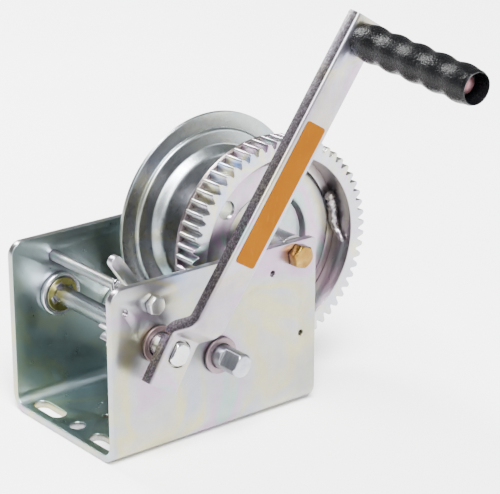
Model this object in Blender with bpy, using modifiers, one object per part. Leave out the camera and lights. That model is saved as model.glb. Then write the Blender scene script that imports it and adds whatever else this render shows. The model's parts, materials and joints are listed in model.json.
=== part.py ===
"""Two-speed boat trailer winch: a bent steel frame, a geared cable reel, two drive shafts,
a ratchet pawl and a removable crank with a turning grip.

Frame of the model: +Z up, the origin in the middle of the base's underside. X runs along the
channel, Y along the shafts, and the crank is on the -Y side. Metres.
"""
import math

import bmesh
import bpy
from mathutils import Matrix, Vector

MM = 0.001
GAP = 0.3                      # between pieces that touch, and in running fits

# Frame: one channel bent from plate, open at both ends
FRAME_LENGTH = 164.5
FRAME_WIDTH = 116.5
FRAME_HEIGHT = 118.0
PLATE = 5.0
BEND_RADIUS = 13.0             # outside of the two bottom bends
CORNER_LEFT = 9.5
CORNER_RIGHT = 3.5
FRONT_FACE = -FRAME_WIDTH / 2
REAR_FACE = FRAME_WIDTH / 2
FRONT_INSIDE = FRONT_FACE + PLATE
REAR_INSIDE = REAR_FACE - PLATE
SLOT_X = 70.5                  # bolt slots and round holes in the base
SLOT_Y = 32.5
SLOT_LENGTH = 30.0
SLOT_WIDTH = 11.0
BASE_HOLE_RADIUS = 5.4
PILOT_X = 47.5
PILOT_RADIUS = 2.6
COVER_HOLES = ((-71.1, 102.3), (45.7, 100.2), (69.8, 52.7))
COVER_HOLE_RADIUS = 2.1

# Axes, as (x, z)
SHAFT_A = (-47.0, 76.0)
REEL = (66.4, 108.7)
PAWL_PIVOT = (-50.0, 103.0)

# Gear train, from the crank on shaft A to the reel
MODULE = 2.4
PRESSURE_ANGLE = math.radians(25)
BACKLASH = 0.45
CENTRE_SLACK = 0.1
TEETH_PINION_A = 12
TEETH_GEAR_B = 32
TEETH_PINION_B = 10
TEETH_RING = 60
ADDENDUM = 0.95 * MODULE
DEDENDUM = 1.25 * MODULE
RING_ADDENDUM = 1.5            # the ring gear has short teeth, cut a little deep
RING_DEDENDUM = 3.5

PINION_A_FRONT = -51.6
PINION_A_REAR = -17.0
GEAR_B_FRONT = -51.4
GEAR_B_REAR = -43.0
PINION_B_FRONT = -42.6
PINION_B_REAR = -24.3

# Shafts
SHAFT_RADIUS = 7.94
JOURNAL_RADIUS = 6.35
FLAT_HALF = 5.75               # half the distance across the two flats
SHAFT_FRONT = -83.0
SHAFT_REAR = 62.0
SHAFT_CHAMFER = 1.6
FLATS_A = -77.2                # where the flats end on each shaft
FLATS_B = -68.0
CLIP_START = 59.3
CLIP_END = 60.6
CLIP_RADIUS = 11.0
PUSH_START = 48.4
PUSH_END = 49.3
PUSH_RADIUS = 11.6

# Shaft bushings
FRONT_BUSH_RADIUS = 9.5
REAR_BUSH_RADIUS = 11.0
BUSH_FLANGE_FRONT = 12.25
BUSH_FLANGE_REAR = 14.75
BUSH_FLANGE_THICK = 2.2
REAR_FLANGE_THICK = 3.0
BUSH_PROUD = 0.6               # how far a bushing shows on the far side of its plate

# Reel
RING_FRONT = -41.4
RING_REAR = -23.8
RING_BORE = 61.5
FLANGE_RADIUS = 75.2
FLANGE_SHEET = 2.8
DRUM_RADIUS = 25.4
DRUM_WALL = 3.0
CABLE_HOLE_RADIUS = 6.4
CABLE_HOLE_REACH = 44.5
CABLE_HOLE_ANGLE = math.radians(139)
HUB_BORE = 11.2
GEAR_FLANGE_RADIUS = 72.2
GEAR_FLANGE_HUB_Y = -21.1      # middle of the sheet at the hub, at the flat and at the rim
GEAR_FLANGE_FLAT_Y = -25.4
GEAR_FLANGE_RIM_Y = -22.1
REAR_FLANGE_HUB_Y = 25.9
REAR_FLANGE_RING_Y = 32.2
REAR_FLANGE_RIM_Y = 34.8
SLEEVE_RADIUS = 7.95
HUB_BUSH_FLANGE = 14.0
HUB_BUSH_THICK = 2.8
HUB_BUSH_LENGTH = 11.0
SPACER_RADIUS = 11.5
WELD_START = 22.0              # degrees about the reel
WELD_END = -2.0
WELD_TAIL_ANGLE = -9.0
WELD_HEIGHT = 26.3
WELD_TAIL_HEIGHT = 36.5
WELD_RADIUS = 2.2

# Hexagon heads, across the flats
AXLE_BOLT_RADIUS = 4.76
AXLE_HEAD = 14.3
AXLE_HEAD_HEIGHT = 7.4
ROD_RADIUS = 3.5
ROD_HEAD = 11.1
ROD_HEAD_HEIGHT = 4.8

# Pawl
PAWL_START = -35.8
PAWL_END = -30.8
PAWL_BOSS = 8.4
FINGER_ANGLE = 125.0           # the finger leans this way, in degrees
FINGER_TIP = (-10.8, 23.1)     # the middle of its round tip, from the pivot
FINGER_RADIUS = 4.3
NOSE_ANGLE = 229.0
NOSE_REACH = 17.0
SPRING_WIRE = 0.65
SPRING_RADIUS = 5.3
SPRING_PITCH = 1.8
SPRING_TURNS = 3.5
PAWL_CLIP_RADIUS = 5.8

# Crank
CRANK_ANGLE = math.radians(58.5)
CRANK_LEAN = math.radians(5.0)
CRANK_WIDTH = 24.0
CRANK_DEPTH = 9.0
CRANK_SHEET = 3.2
CRANK_FACE = -80.75            # outer face of the hub plate
HUB_BOTTOM = -24.0
HUB_TOP = 7.7
RAMP_ANGLE = math.radians(60)
RAMP_OUT = 17.0                # how far the offset bend carries the arm outwards
GRIP_REACH = 219.9             # from the shaft to the grip's axis
ARM_TOP = 233.0
EYE_RADIUS = 8.9               # the hub's hole for a shaft: a circle with two flats
EYE_HALF = 6.3
LABEL_START = 66.0
LABEL_END = 162.0
LABEL_WIDTH = 16.0
LABEL_SHEET = 0.4
LABEL_LIFT = 0.1

# Grip
GRIP_LENGTH = 104.0
GRIP_RADIUS = 11.9
GRIP_BORE = 5.1
GRIP_SOCKET_RADIUS = 9.3
GRIP_SOCKET_DEPTH = 12.5
FINGER_COUNT = 5
FINGER_DEPTH = 1.2
GRIP_BOLT_RADIUS = 4.75
GRIP_HEAD_RADIUS = 6.6
GRIP_HEAD_HEIGHT = 5.2
GRIP_NUT = 14.3
GRIP_NUT_HEIGHT = 5.4

PARTS = None
CUTTERS = None


# ---------------------------------------------------------------- helpers

def start_scene():
    """Empties the file and makes the two collections."""
    global PARTS, CUTTERS
    for item in list(bpy.data.objects):
        bpy.data.objects.remove(item, do_unlink=True)
    PARTS = bpy.data.collections.new("boat_trailer_winch")
    CUTTERS = bpy.data.collections.new("cutters")
    bpy.context.scene.collection.children.link(PARTS)
    bpy.context.scene.collection.children.link(CUTTERS)


def make_material(name, colour, roughness, metallic):
    """A Principled material with one finish."""
    finish = bpy.data.materials.new(name)
    finish.use_nodes = True
    shader = finish.node_tree.nodes["Principled BSDF"]
    shader.inputs["Base Color"].default_value = (*colour, 1.0)
    shader.inputs["Roughness"].default_value = roughness
    shader.inputs["Metallic"].default_value = metallic
    return finish


FINISHES = {
    "clear_zinc": ((0.72, 0.73, 0.76), 0.32, 1.0),
    "bright_steel": ((0.78, 0.79, 0.82), 0.22, 1.0),
    "yellow_zinc": ((0.72, 0.55, 0.25), 0.35, 1.0),
    "bronze": ((0.42, 0.30, 0.25), 0.45, 1.0),
    "black_plastic": ((0.02, 0.02, 0.022), 0.6, 0.0),
    "rivet_red": ((0.16, 0.06, 0.055), 0.5, 0.6),
    "orange_label": ((0.75, 0.33, 0.07), 0.5, 0.0),
    "weld_grey": ((0.36, 0.34, 0.34), 0.5, 0.9),
}


def dress(piece, finish):
    """Gives a piece its own copy of a finish."""
    piece.data.materials.append(make_material(piece.name + "_" + finish, *FINISHES[finish]))
    return piece


def shade(piece, sharp_degrees=35):
    """Smooth shading that keeps the hard edges."""
    piece.data.shade_smooth()
    piece.data.set_sharp_from_angle(angle=math.radians(sharp_degrees))


def add_mesh(name, builder, cutter=False):
    """Links a bmesh as a new object."""
    mesh = bpy.data.meshes.new(name)
    builder.to_mesh(mesh)
    builder.free()
    piece = bpy.data.objects.new(name, mesh)
    (CUTTERS if cutter else PARTS).objects.link(piece)
    if cutter:
        piece.hide_render = True
        piece.display_type = "WIRE"
    return piece


def polar(radius, angle, centre=(0.0, 0.0)):
    return (centre[0] + radius * math.cos(angle), centre[1] + radius * math.sin(angle))


def arc(radius, start, end, steps, centre=(0.0, 0.0)):
    """Points on an arc, both ends included, angles in degrees."""
    turn = math.radians(end - start) / steps
    return [polar(radius, math.radians(start) + turn * i, centre) for i in range(steps + 1)]


def circle(radius, steps=32, centre=(0.0, 0.0)):
    return [polar(radius, 2 * math.pi * i / steps, centre) for i in range(steps)]


def solid_from_curve(name, curve, cutter=False):
    """The closed mesh that a curve describes, with its caps welded on."""
    drawn = bpy.data.objects.new(name + "_curve", curve)
    bpy.context.scene.collection.objects.link(drawn)
    shape = drawn.evaluated_get(bpy.context.evaluated_depsgraph_get())
    mesh = bpy.data.meshes.new_from_object(shape)
    bpy.data.objects.remove(drawn, do_unlink=True)
    builder = bmesh.new()
    builder.from_mesh(mesh)
    bpy.data.meshes.remove(mesh)
    bmesh.ops.remove_doubles(builder, verts=builder.verts, dist=0.000001)
    bmesh.ops.recalc_face_normals(builder, faces=builder.faces)
    return add_mesh(name, builder, cutter)


def extruded(name, loops, thickness, cutter=False):
    """A flat outline, in millimetres, made into a plate centred on its own plane."""
    curve = bpy.data.curves.new(name, "CURVE")
    curve.dimensions = "2D"
    curve.fill_mode = "BOTH"
    curve.extrude = thickness / 2 * MM
    for loop in loops:
        spline = curve.splines.new("POLY")
        spline.points.add(len(loop) - 1)
        for point, (x, y) in zip(spline.points, loop):
            point.co = (x * MM, y * MM, 0.0, 1.0)
        spline.use_cyclic_u = True
    return solid_from_curve(name, curve, cutter)


def wire(name, points, bevel, finish):
    """A round wire through (x, y, z, relative radius) points, in millimetres."""
    curve = bpy.data.curves.new(name, "CURVE")
    curve.dimensions = "3D"
    curve.bevel_depth = bevel * MM
    curve.bevel_resolution = 2
    curve.use_fill_caps = True
    spline = curve.splines.new("POLY")
    spline.points.add(len(points) - 1)
    for point, (x, y, z, thickness) in zip(spline.points, points):
        point.co = (x * MM, y * MM, z * MM, 1.0)
        point.radius = thickness
    piece = dress(solid_from_curve(name, curve), finish)
    shade(piece, 60)
    return piece


def turned(name, profile, steps=32, cutter=False):
    """A solid of revolution about local Z, from (radius, height) points in millimetres.

    The profile starts and ends on the axis, or is a closed loop that stays clear of it.
    """
    closed = profile[0][0] > 0 and profile[-1][0] > 0
    area = sum(a[0] * b[1] - b[0] * a[1] for a, b in zip(profile, profile[1:] + profile[:1]))
    points = profile if area < 0 else profile[::-1]
    builder = bmesh.new()
    verts = [builder.verts.new((r * MM, 0.0, z * MM)) for r, z in points]
    for first, second in zip(verts, verts[1:]):
        builder.edges.new((first, second))
    if closed:
        builder.edges.new((verts[-1], verts[0]))
    piece = add_mesh(name, builder, cutter)
    screw = piece.modifiers.new("turn", "SCREW")
    screw.steps = steps
    screw.render_steps = steps
    screw.use_merge_vertices = True
    screw.merge_threshold = 0.00001
    screw.use_smooth_shade = False
    return piece


def tube(name, outer, inner, start, end, steps=32):
    """A plain tube about the Y direction, from Y = start to Y = end."""
    profile = [(inner, -start), (outer, -start), (outer, -end), (inner, -end)]
    return turned(name, profile, steps)


def along_y(piece, axis, y=0.0):
    """Stands local Z along -Y, so that local X and Y are the world's X and Z."""
    piece.rotation_euler = (math.pi / 2, 0.0, 0.0)
    piece.location = (axis[0] * MM, y * MM, axis[1] * MM)
    return piece


def prism(name, across_flats, start, end, turn, cutter=False):
    """A hexagonal bar from local height start to end."""
    builder = bmesh.new()
    radius = across_flats / math.sqrt(3) * MM
    middle = Matrix.Translation((0.0, 0.0, (start + end) / 2 * MM))
    bmesh.ops.create_cone(builder, cap_ends=True, segments=6, radius1=radius, radius2=radius,
                          depth=abs(end - start) * MM, matrix=middle @ Matrix.Rotation(turn, 4, "Z"))
    return add_mesh(name, builder, cutter)


def rod_cutter(name, radius, length, steps=32):
    """A plain cylinder for cutting holes, centred on its origin."""
    return turned(name, [(0.0, length / 2), (radius, length / 2), (radius, -length / 2),
                         (0.0, -length / 2)], steps, cutter=True)


def combine(piece, other, operation="DIFFERENCE"):
    boolean = piece.modifiers.new(operation.lower(), "BOOLEAN")
    boolean.operation = operation
    boolean.solver = "EXACT"
    boolean.object = other


def apply_modifiers(piece):
    """Bakes the modifiers, so that the mesh can be shaded or cut again."""
    bpy.context.view_layer.update()
    shape = piece.evaluated_get(bpy.context.evaluated_depsgraph_get())
    mesh = bpy.data.meshes.new_from_object(shape)
    piece.modifiers.clear()
    piece.data = mesh
    return piece


def mesh_angle(teeth, bearing, other_teeth, other_phase, other_bearing):
    """The phase that puts this gear's teeth in the other gear's spaces."""
    other_offset = (other_phase - other_bearing) * other_teeth
    return bearing + (math.pi - other_offset) / teeth


def triangle_corner(first, first_reach, second, second_reach):
    """The lower crossing of two circles, each about a known axis."""
    dx = second[0] - first[0]
    dz = second[1] - first[1]
    span = math.hypot(dx, dz)
    along = (first_reach ** 2 - second_reach ** 2 + span ** 2) / (2 * span)
    aside = math.sqrt(first_reach ** 2 - along ** 2)
    return (first[0] + (along * dx + aside * dz) / span, first[1] + (along * dz - aside * dx) / span)


SHAFT_B = triangle_corner(
    SHAFT_A, MODULE * (TEETH_PINION_A + TEETH_GEAR_B) / 2 + CENTRE_SLACK,
    REEL, MODULE * (TEETH_PINION_B + TEETH_RING) / 2 + CENTRE_SLACK)


def facing(start, end):
    return math.atan2(end[1] - start[1], end[0] - start[0])


PHASE_RING = math.radians(1.5)
PHASE_PINION_B = mesh_angle(TEETH_PINION_B, facing(SHAFT_B, REEL),
                            TEETH_RING, PHASE_RING, facing(REEL, SHAFT_B))
PHASE_GEAR_B = 0.0
PHASE_PINION_A = mesh_angle(TEETH_PINION_A, facing(SHAFT_A, SHAFT_B),
                            TEETH_GEAR_B, PHASE_GEAR_B, facing(SHAFT_B, SHAFT_A))


def tooth_outline(teeth, phase, addendum=ADDENDUM, dedendum=DEDENDUM):
    """An involute gear's outline, thinned for backlash and undercut below the base circle."""
    pitch = MODULE * teeth / 2
    base = pitch * math.cos(PRESSURE_ANGLE)
    root = pitch - dedendum
    tip = pitch + addendum
    involute = math.tan(PRESSURE_ANGLE) - PRESSURE_ANGLE
    half = math.pi / (2 * teeth) - BACKLASH / (4 * pitch) + involute
    undercut = 0.02            # radians per millimetre below the base circle

    def half_angle(radius):
        if radius <= base:
            return half - undercut * (base - radius)
        rolled = math.acos(base / radius)
        return half - (math.tan(rolled) - rolled)

    start = max(root, base)
    flank = [root] if root < base else []
    flank += [start + (tip - start) * i / 3 for i in range(4)]
    outline = []
    for i in range(teeth):
        centre = phase + 2 * math.pi * i / teeth
        outline += [polar(r, centre - half_angle(r)) for r in flank]
        outline += [polar(r, centre + half_angle(r)) for r in reversed(flank)]
    return outline


# ---------------------------------------------------------------- frame

def channel_section():
    """The U of the frame, drawn in Y and Z."""
    side = FRAME_WIDTH / 2
    inner = BEND_RADIUS - PLATE
    left = (-side + BEND_RADIUS, BEND_RADIUS)
    right = (side - BEND_RADIUS, BEND_RADIUS)
    outline = [(-side, FRAME_HEIGHT)]
    outline += arc(BEND_RADIUS, 180, 270, 8, left)
    outline += arc(BEND_RADIUS, 270, 360, 8, right)
    outline += [(side, FRAME_HEIGHT), (side - PLATE, FRAME_HEIGHT)]
    outline += arc(inner, 360, 270, 8, right)
    outline += arc(inner, 270, 180, 8, left)
    outline += [(-side + PLATE, FRAME_HEIGHT)]
    return outline


def side_silhouette():
    """The side plates' outline, with its two rounded top corners."""
    end = FRAME_LENGTH / 2
    below = -10.0
    outline = [(-end, below), (end, below)]
    outline += arc(CORNER_RIGHT, 0, 90, 5, (end - CORNER_RIGHT, FRAME_HEIGHT - CORNER_RIGHT))
    outline += arc(CORNER_LEFT, 90, 180, 8, (-end + CORNER_LEFT, FRAME_HEIGHT - CORNER_LEFT))
    return outline


def slot_outline(length, width, steps=8):
    """A slot with round ends, long in local Y."""
    reach = (length - width) / 2
    return arc(width / 2, 0, 180, steps, (0.0, reach)) + arc(width / 2, 180, 360, steps, (0.0, -reach))


def double_d_outline(radius, half):
    """A circle cut by two flats, long in local X."""
    corner = math.degrees(math.asin(half / radius))
    return arc(radius, -corner, corner, 6) + arc(radius, 180 - corner, 180 + corner, 6)


def base_frame():
    """The bent channel with its bolt slots, shaft holes and cover holes."""
    frame = extruded("base_frame", [channel_section()], FRAME_LENGTH)
    frame.rotation_euler = (math.pi / 2, 0.0, math.pi / 2)
    sides = extruded("cut_side_silhouette", [side_silhouette()], FRAME_WIDTH + 10, cutter=True)
    along_y(sides, (0.0, 0.0))
    combine(frame, sides, "INTERSECT")

    deep = 3 * PLATE
    front_holes = [(SHAFT_A, FRONT_BUSH_RADIUS + GAP), (SHAFT_B, FRONT_BUSH_RADIUS + GAP),
                   (PAWL_PIVOT, ROD_RADIUS + GAP), (REEL, AXLE_BOLT_RADIUS + GAP)]
    front_holes += [(place, COVER_HOLE_RADIUS) for place in COVER_HOLES]
    rear_holes = [(SHAFT_A, REAR_BUSH_RADIUS + GAP), (SHAFT_B, REAR_BUSH_RADIUS + GAP),
                  (PAWL_PIVOT, ROD_RADIUS + GAP), (REEL, AXLE_BOLT_RADIUS + GAP)]
    for side, y, holes in (("front", FRONT_FACE, front_holes), ("rear", REAR_FACE, rear_holes)):
        for number, (place, radius) in enumerate(holes):
            steps = 28 if radius > COVER_HOLE_RADIUS else 14
            hole = rod_cutter(f"cut_{side}_hole_{number}", radius, deep, steps)
            combine(frame, along_y(hole, place, y))

    for end in (-1, 1):
        for hand in (-1, 1):
            slot = extruded(f"cut_base_slot_{end}_{hand}", [slot_outline(SLOT_LENGTH, SLOT_WIDTH)],
                            deep, cutter=True)
            slot.location = (end * SLOT_X * MM, hand * SLOT_Y * MM, PLATE / 2 * MM)
            combine(frame, slot)
        for x, radius in ((SLOT_X, BASE_HOLE_RADIUS), (PILOT_X, PILOT_RADIUS)):
            hole = rod_cutter(f"cut_base_hole_{end}_{x:.0f}", radius, deep, 20)
            hole.location = (end * x * MM, 0.0, PLATE / 2 * MM)
            combine(frame, hole)
    dress(frame, "clear_zinc")
    apply_modifiers(frame)
    shade(frame)


def front_bushing(name, axis):
    """A bronze bushing pushed in from outside, with its flange on the front plate."""
    face = -(FRONT_FACE - GAP)
    inside = -(FRONT_INSIDE + BUSH_PROUD)
    bore = SHAFT_RADIUS + GAP
    profile = [(bore, face + BUSH_FLANGE_THICK - 0.5), (bore + 0.5, face + BUSH_FLANGE_THICK),
               (BUSH_FLANGE_FRONT - 0.5, face + BUSH_FLANGE_THICK),
               (BUSH_FLANGE_FRONT, face + BUSH_FLANGE_THICK - 0.5), (BUSH_FLANGE_FRONT, face),
               (FRONT_BUSH_RADIUS, face), (FRONT_BUSH_RADIUS, inside), (bore, inside)]
    bush = dress(turned(name, profile), "bronze")
    along_y(bush, axis)
    shade(bush)


def rear_bushing(name, axis):
    """A steel bushing pushed in from inside, with its flange on the rear plate."""
    face = -(REAR_INSIDE - GAP)
    outside = -(REAR_FACE + BUSH_PROUD)
    bore = JOURNAL_RADIUS + GAP
    front = face + REAR_FLANGE_THICK
    profile = [(bore, front), (BUSH_FLANGE_REAR - 2.6, front), (BUSH_FLANGE_REAR - 2.2, front + 0.5),
               (BUSH_FLANGE_REAR - 0.6, front + 0.5), (BUSH_FLANGE_REAR, front - 0.2),
               (BUSH_FLANGE_REAR, face), (REAR_BUSH_RADIUS, face), (REAR_BUSH_RADIUS, outside),
               (bore, outside)]
    bush = dress(turned(name, profile), "clear_zinc")
    along_y(bush, axis)
    shade(bush)


# ---------------------------------------------------------------- bolts, nuts, clips

def hex_bolt(name, axis, finish, across_flats, head_height, radius, head_face, end):
    """A hex bolt whose head bears on the front plate and points to -Y."""
    under = -head_face
    top = under + head_height
    bolt = turned(name, [(0.0, under + 1.0), (radius, under + 1.0), (radius, -end + 0.8),
                         (radius - 0.8, -end), (0.0, -end)], 24)
    head = prism("cut_" + name + "_head", across_flats, under, top, math.radians(12), cutter=True)
    corner = across_flats / math.sqrt(3)
    crown = turned("cut_" + name + "_crown", [
        (0.0, top + 0.01), (across_flats / 2 * 0.93, top + 0.01), (corner + 0.4, top - 1.4),
        (corner + 0.4, under - 2.0), (0.0, under - 2.0)], 36, cutter=True)
    for cutter in (head, crown):
        along_y(cutter, axis)
    combine(head, crown, "INTERSECT")
    combine(bolt, head, "UNION")
    dress(bolt, finish)
    along_y(bolt, axis)
    apply_modifiers(bolt)
    shade(bolt)


def hex_nut(name, axis, finish, across_flats, radius, start, end):
    """A hex nut between Y = start and Y = end."""
    nut = prism(name, across_flats, -end, -start, 0.2)
    hole = rod_cutter("cut_" + name, radius + GAP, 4 * (end - start), 24)
    corner = across_flats / math.sqrt(3)
    crown = turned("cut_" + name + "_crown", [
        (0.0, -start + 1.0), (corner + 0.4, -start + 1.0), (corner + 0.4, -end + 1.3),
        (across_flats / 2 * 0.95, -end), (0.0, -end)], 36, cutter=True)
    along_y(hole, axis, (start + end) / 2)
    along_y(crown, axis)
    combine(nut, crown, "INTERSECT")
    combine(nut, hole)
    dress(nut, finish)
    along_y(nut, axis)
    apply_modifiers(nut)
    shade(nut)


def washer(name, axis, finish, outer, inner, start, end):
    ring = dress(tube(name, outer, inner, start, end, 28), finish)
    along_y(ring, axis)
    shade(ring)


def snap_ring(name, axis, outer, inner, start, end):
    """An open retaining ring on a shaft."""
    half = 25.0                # half of the opening, in degrees
    outline = arc(outer, half, 360 - half, 24) + arc(inner, 360 - half, half, 24)
    ring = dress(extruded(name, [outline], end - start), "bright_steel")
    along_y(ring, axis, (start + end) / 2)
    shade(ring)


def push_ring(name, axis, outer, inner, start, end):
    """A toothed push-on retainer: its bore has open slots between the gripping tongues."""
    notches = 4
    bore = []
    for i in range(notches):
        middle = 360 / notches * i + 20
        bore += arc(inner, middle + 22, middle + 68, 4)
        bore += arc(inner + 2.2, middle + 72, middle + 108, 3)
    ring = dress(extruded(name, [circle(outer), bore], end - start), "yellow_zinc")
    along_y(ring, axis, (start + end) / 2)
    shade(ring)


# ---------------------------------------------------------------- drive shafts

def drive_shaft(name, axis, step_y, flats_y):
    """A shaft with two flats at its front end and a thinner journal from step_y to the rear."""
    front = -SHAFT_FRONT
    rear = -SHAFT_REAR
    step = -step_y
    profile = [(0.0, front), (SHAFT_RADIUS - SHAFT_CHAMFER, front), (SHAFT_RADIUS, front - SHAFT_CHAMFER),
               (SHAFT_RADIUS, step), (JOURNAL_RADIUS, step), (JOURNAL_RADIUS, rear + 1.0),
               (JOURNAL_RADIUS - 1.0, rear), (0.0, rear)]
    shaft = turned(name, profile, 32)
    reach = 10.0
    for hand in (-1, 1):
        builder = bmesh.new()
        bmesh.ops.create_cube(builder, size=1.0)
        block = add_mesh(f"cut_{name}_flat_{hand}", builder, cutter=True)
        length = flats_y - SHAFT_FRONT + reach
        size = Matrix.Diagonal((4 * reach, reach, length, 1.0))
        place = Matrix.Translation((0.0, hand * (FLAT_HALF + reach / 2), -flats_y + length / 2))
        turn = Matrix.Rotation(CRANK_ANGLE, 4, "Z")
        block.data.transform(Matrix.Scale(MM, 4) @ turn @ place @ size)
        along_y(block, axis)
        combine(shaft, block)
    dress(shaft, "bright_steel")
    along_y(shaft, axis)
    apply_modifiers(shaft)
    shade(shaft)


def gear(name, axis, teeth, phase, bore, start, end, finish):
    """A spur gear between Y = start and Y = end."""
    wheel = extruded(name, [tooth_outline(teeth, phase), circle(bore, 32)], end - start)
    dress(wheel, finish)
    along_y(wheel, axis, (start + end) / 2)
    shade(wheel, 40)


def drive_shafts():
    """Both shafts with the gears and retainers that turn with them."""
    drive_shaft("drive_shaft_a", SHAFT_A, PINION_A_REAR + 0.4, FLATS_A)
    drive_shaft("drive_shaft_b", SHAFT_B, GEAR_B_FRONT - 1.0, FLATS_B)
    gear("long_pinion_a", SHAFT_A, TEETH_PINION_A, PHASE_PINION_A, SHAFT_RADIUS + GAP,
         PINION_A_FRONT, PINION_A_REAR, "yellow_zinc")
    gear("transfer_gear_b", SHAFT_B, TEETH_GEAR_B, PHASE_GEAR_B, JOURNAL_RADIUS + GAP,
         GEAR_B_FRONT, GEAR_B_REAR, "clear_zinc")
    gear("pinion_b", SHAFT_B, TEETH_PINION_B, PHASE_PINION_B, JOURNAL_RADIUS + GAP,
         PINION_B_FRONT, PINION_B_REAR, "yellow_zinc")
    for letter, axis in (("a", SHAFT_A), ("b", SHAFT_B)):
        snap_ring(f"rear_snap_ring_{letter}", axis, CLIP_RADIUS, JOURNAL_RADIUS + GAP, CLIP_START, CLIP_END)
        push_ring(f"push_retainer_{letter}", axis, PUSH_RADIUS, JOURNAL_RADIUS + GAP, PUSH_START, PUSH_END)


# ---------------------------------------------------------------- reel

def sheet_profile(path, sheet):
    """A closed profile of even thickness about a (radius, height) centreline."""
    left = []
    right = []
    for i, (r, z) in enumerate(path):
        before = path[max(i - 1, 0)]
        after = path[min(i + 1, len(path) - 1)]
        run = (Vector(after) - Vector(before)).normalized()
        side = Vector((-run.y, run.x)) * sheet / 2
        left.append((r + side.x, z + side.y))
        right.append((r - side.x, z - side.y))
    return left + right[::-1]


def eased(start, end, steps=4):
    """Points on a smooth step between two (radius, height) points."""
    points = []
    for i in range(steps + 1):
        t = i / steps
        ease = t * t * (3 - 2 * t)
        points.append((start[0] + (end[0] - start[0]) * t, start[1] + (end[1] - start[1]) * ease))
    return points


def gear_side_flange():
    """The pressed disc behind the ring gear: a sunk hub, a raised flat with the cable hole, and a rim."""
    path = [(HUB_BORE, -GEAR_FLANGE_HUB_Y)]
    path += eased((31.5, -GEAR_FLANGE_HUB_Y), (36.0, -GEAR_FLANGE_FLAT_Y))
    path += eased((51.5, -GEAR_FLANGE_FLAT_Y), (55.5, -GEAR_FLANGE_RIM_Y))
    path.append((GEAR_FLANGE_RADIUS, -GEAR_FLANGE_RIM_Y))
    flange = turned("reel_gear_side_flange", sheet_profile(path, FLANGE_SHEET), 44)
    along_y(flange, REEL)
    hole = rod_cutter("cut_cable_hole", CABLE_HOLE_RADIUS, 20.0, 20)
    along_y(hole, polar(CABLE_HOLE_REACH, CABLE_HOLE_ANGLE, REEL), GEAR_FLANGE_FLAT_Y)
    combine(flange, hole)
    dress(flange, "clear_zinc")
    apply_modifiers(flange)
    shade(flange)


def rear_flange():
    """The rear disc: a flat rim, a low step, and a smooth dish towards the drum."""
    path = [(HUB_BORE, -REAR_FLANGE_HUB_Y)]
    path += eased((46.0, -REAR_FLANGE_HUB_Y), (53.5, -REAR_FLANGE_RING_Y), 5)
    path += [(62.2, -REAR_FLANGE_RING_Y), (63.6, -REAR_FLANGE_RIM_Y), (FLANGE_RADIUS, -REAR_FLANGE_RIM_Y)]
    flange = dress(turned("reel_rear_flange", sheet_profile(path, FLANGE_SHEET), 44), "clear_zinc")
    along_y(flange, REEL)
    shade(flange, 30)


def drum():
    """The tube that the cable winds on."""
    start = GEAR_FLANGE_HUB_Y + FLANGE_SHEET / 2 + GAP
    end = REAR_FLANGE_HUB_Y - FLANGE_SHEET / 2 - GAP
    body = dress(tube("reel_drum", DRUM_RADIUS, DRUM_RADIUS - DRUM_WALL, start, end, 40), "clear_zinc")
    along_y(body, REEL)
    shade(body)


def ring_gear():
    """The toothed ring on the front of the gear-side flange."""
    teeth = tooth_outline(TEETH_RING, PHASE_RING, RING_ADDENDUM, RING_DEDENDUM)
    ring = extruded("ring_gear", [teeth, circle(RING_BORE, 56)], RING_REAR - RING_FRONT)
    dress(ring, "clear_zinc")
    along_y(ring, REEL, (RING_FRONT + RING_REAR) / 2)
    shade(ring, 40)


def weld_bead():
    """The weld between the flange's rim and the ring: an uneven bead with a tail up the ring's wall."""
    steps = 14
    reach = RING_BORE - 2.8
    points = []
    for i in range(steps + 1):
        t = i / steps
        x, y = polar(reach, math.radians(WELD_START + (WELD_END - WELD_START) * t))
        points.append((x, y, WELD_HEIGHT, WELD_RADIUS + 0.15 * math.sin(9 * t) + 0.12 * math.sin(23 * t)))
    x, y = polar(reach + 0.9, math.radians(WELD_TAIL_ANGLE))
    points.append((x, y, WELD_TAIL_HEIGHT, 0.65 * WELD_RADIUS))
    along_y(wire("ring_weld_bead", points, 1.0, "weld_grey"), REEL)


def hub_bushing(name, seat, hand):
    """A flanged bushing in the reel's hub; hand is -1 for the front one and +1 for the rear one."""
    bore = SLEEVE_RADIUS + GAP
    start = seat + hand * GAP
    outer = start + hand * HUB_BUSH_THICK
    inner = start - hand * HUB_BUSH_LENGTH
    profile = [(bore, -inner), (HUB_BORE - GAP, -inner), (HUB_BORE - GAP, -start),
               (HUB_BUSH_FLANGE, -start), (HUB_BUSH_FLANGE, -outer), (bore, -outer)]
    bush = dress(turned(name, profile, 28), "bronze")
    along_y(bush, REEL)
    shade(bush)
    return outer


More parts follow.
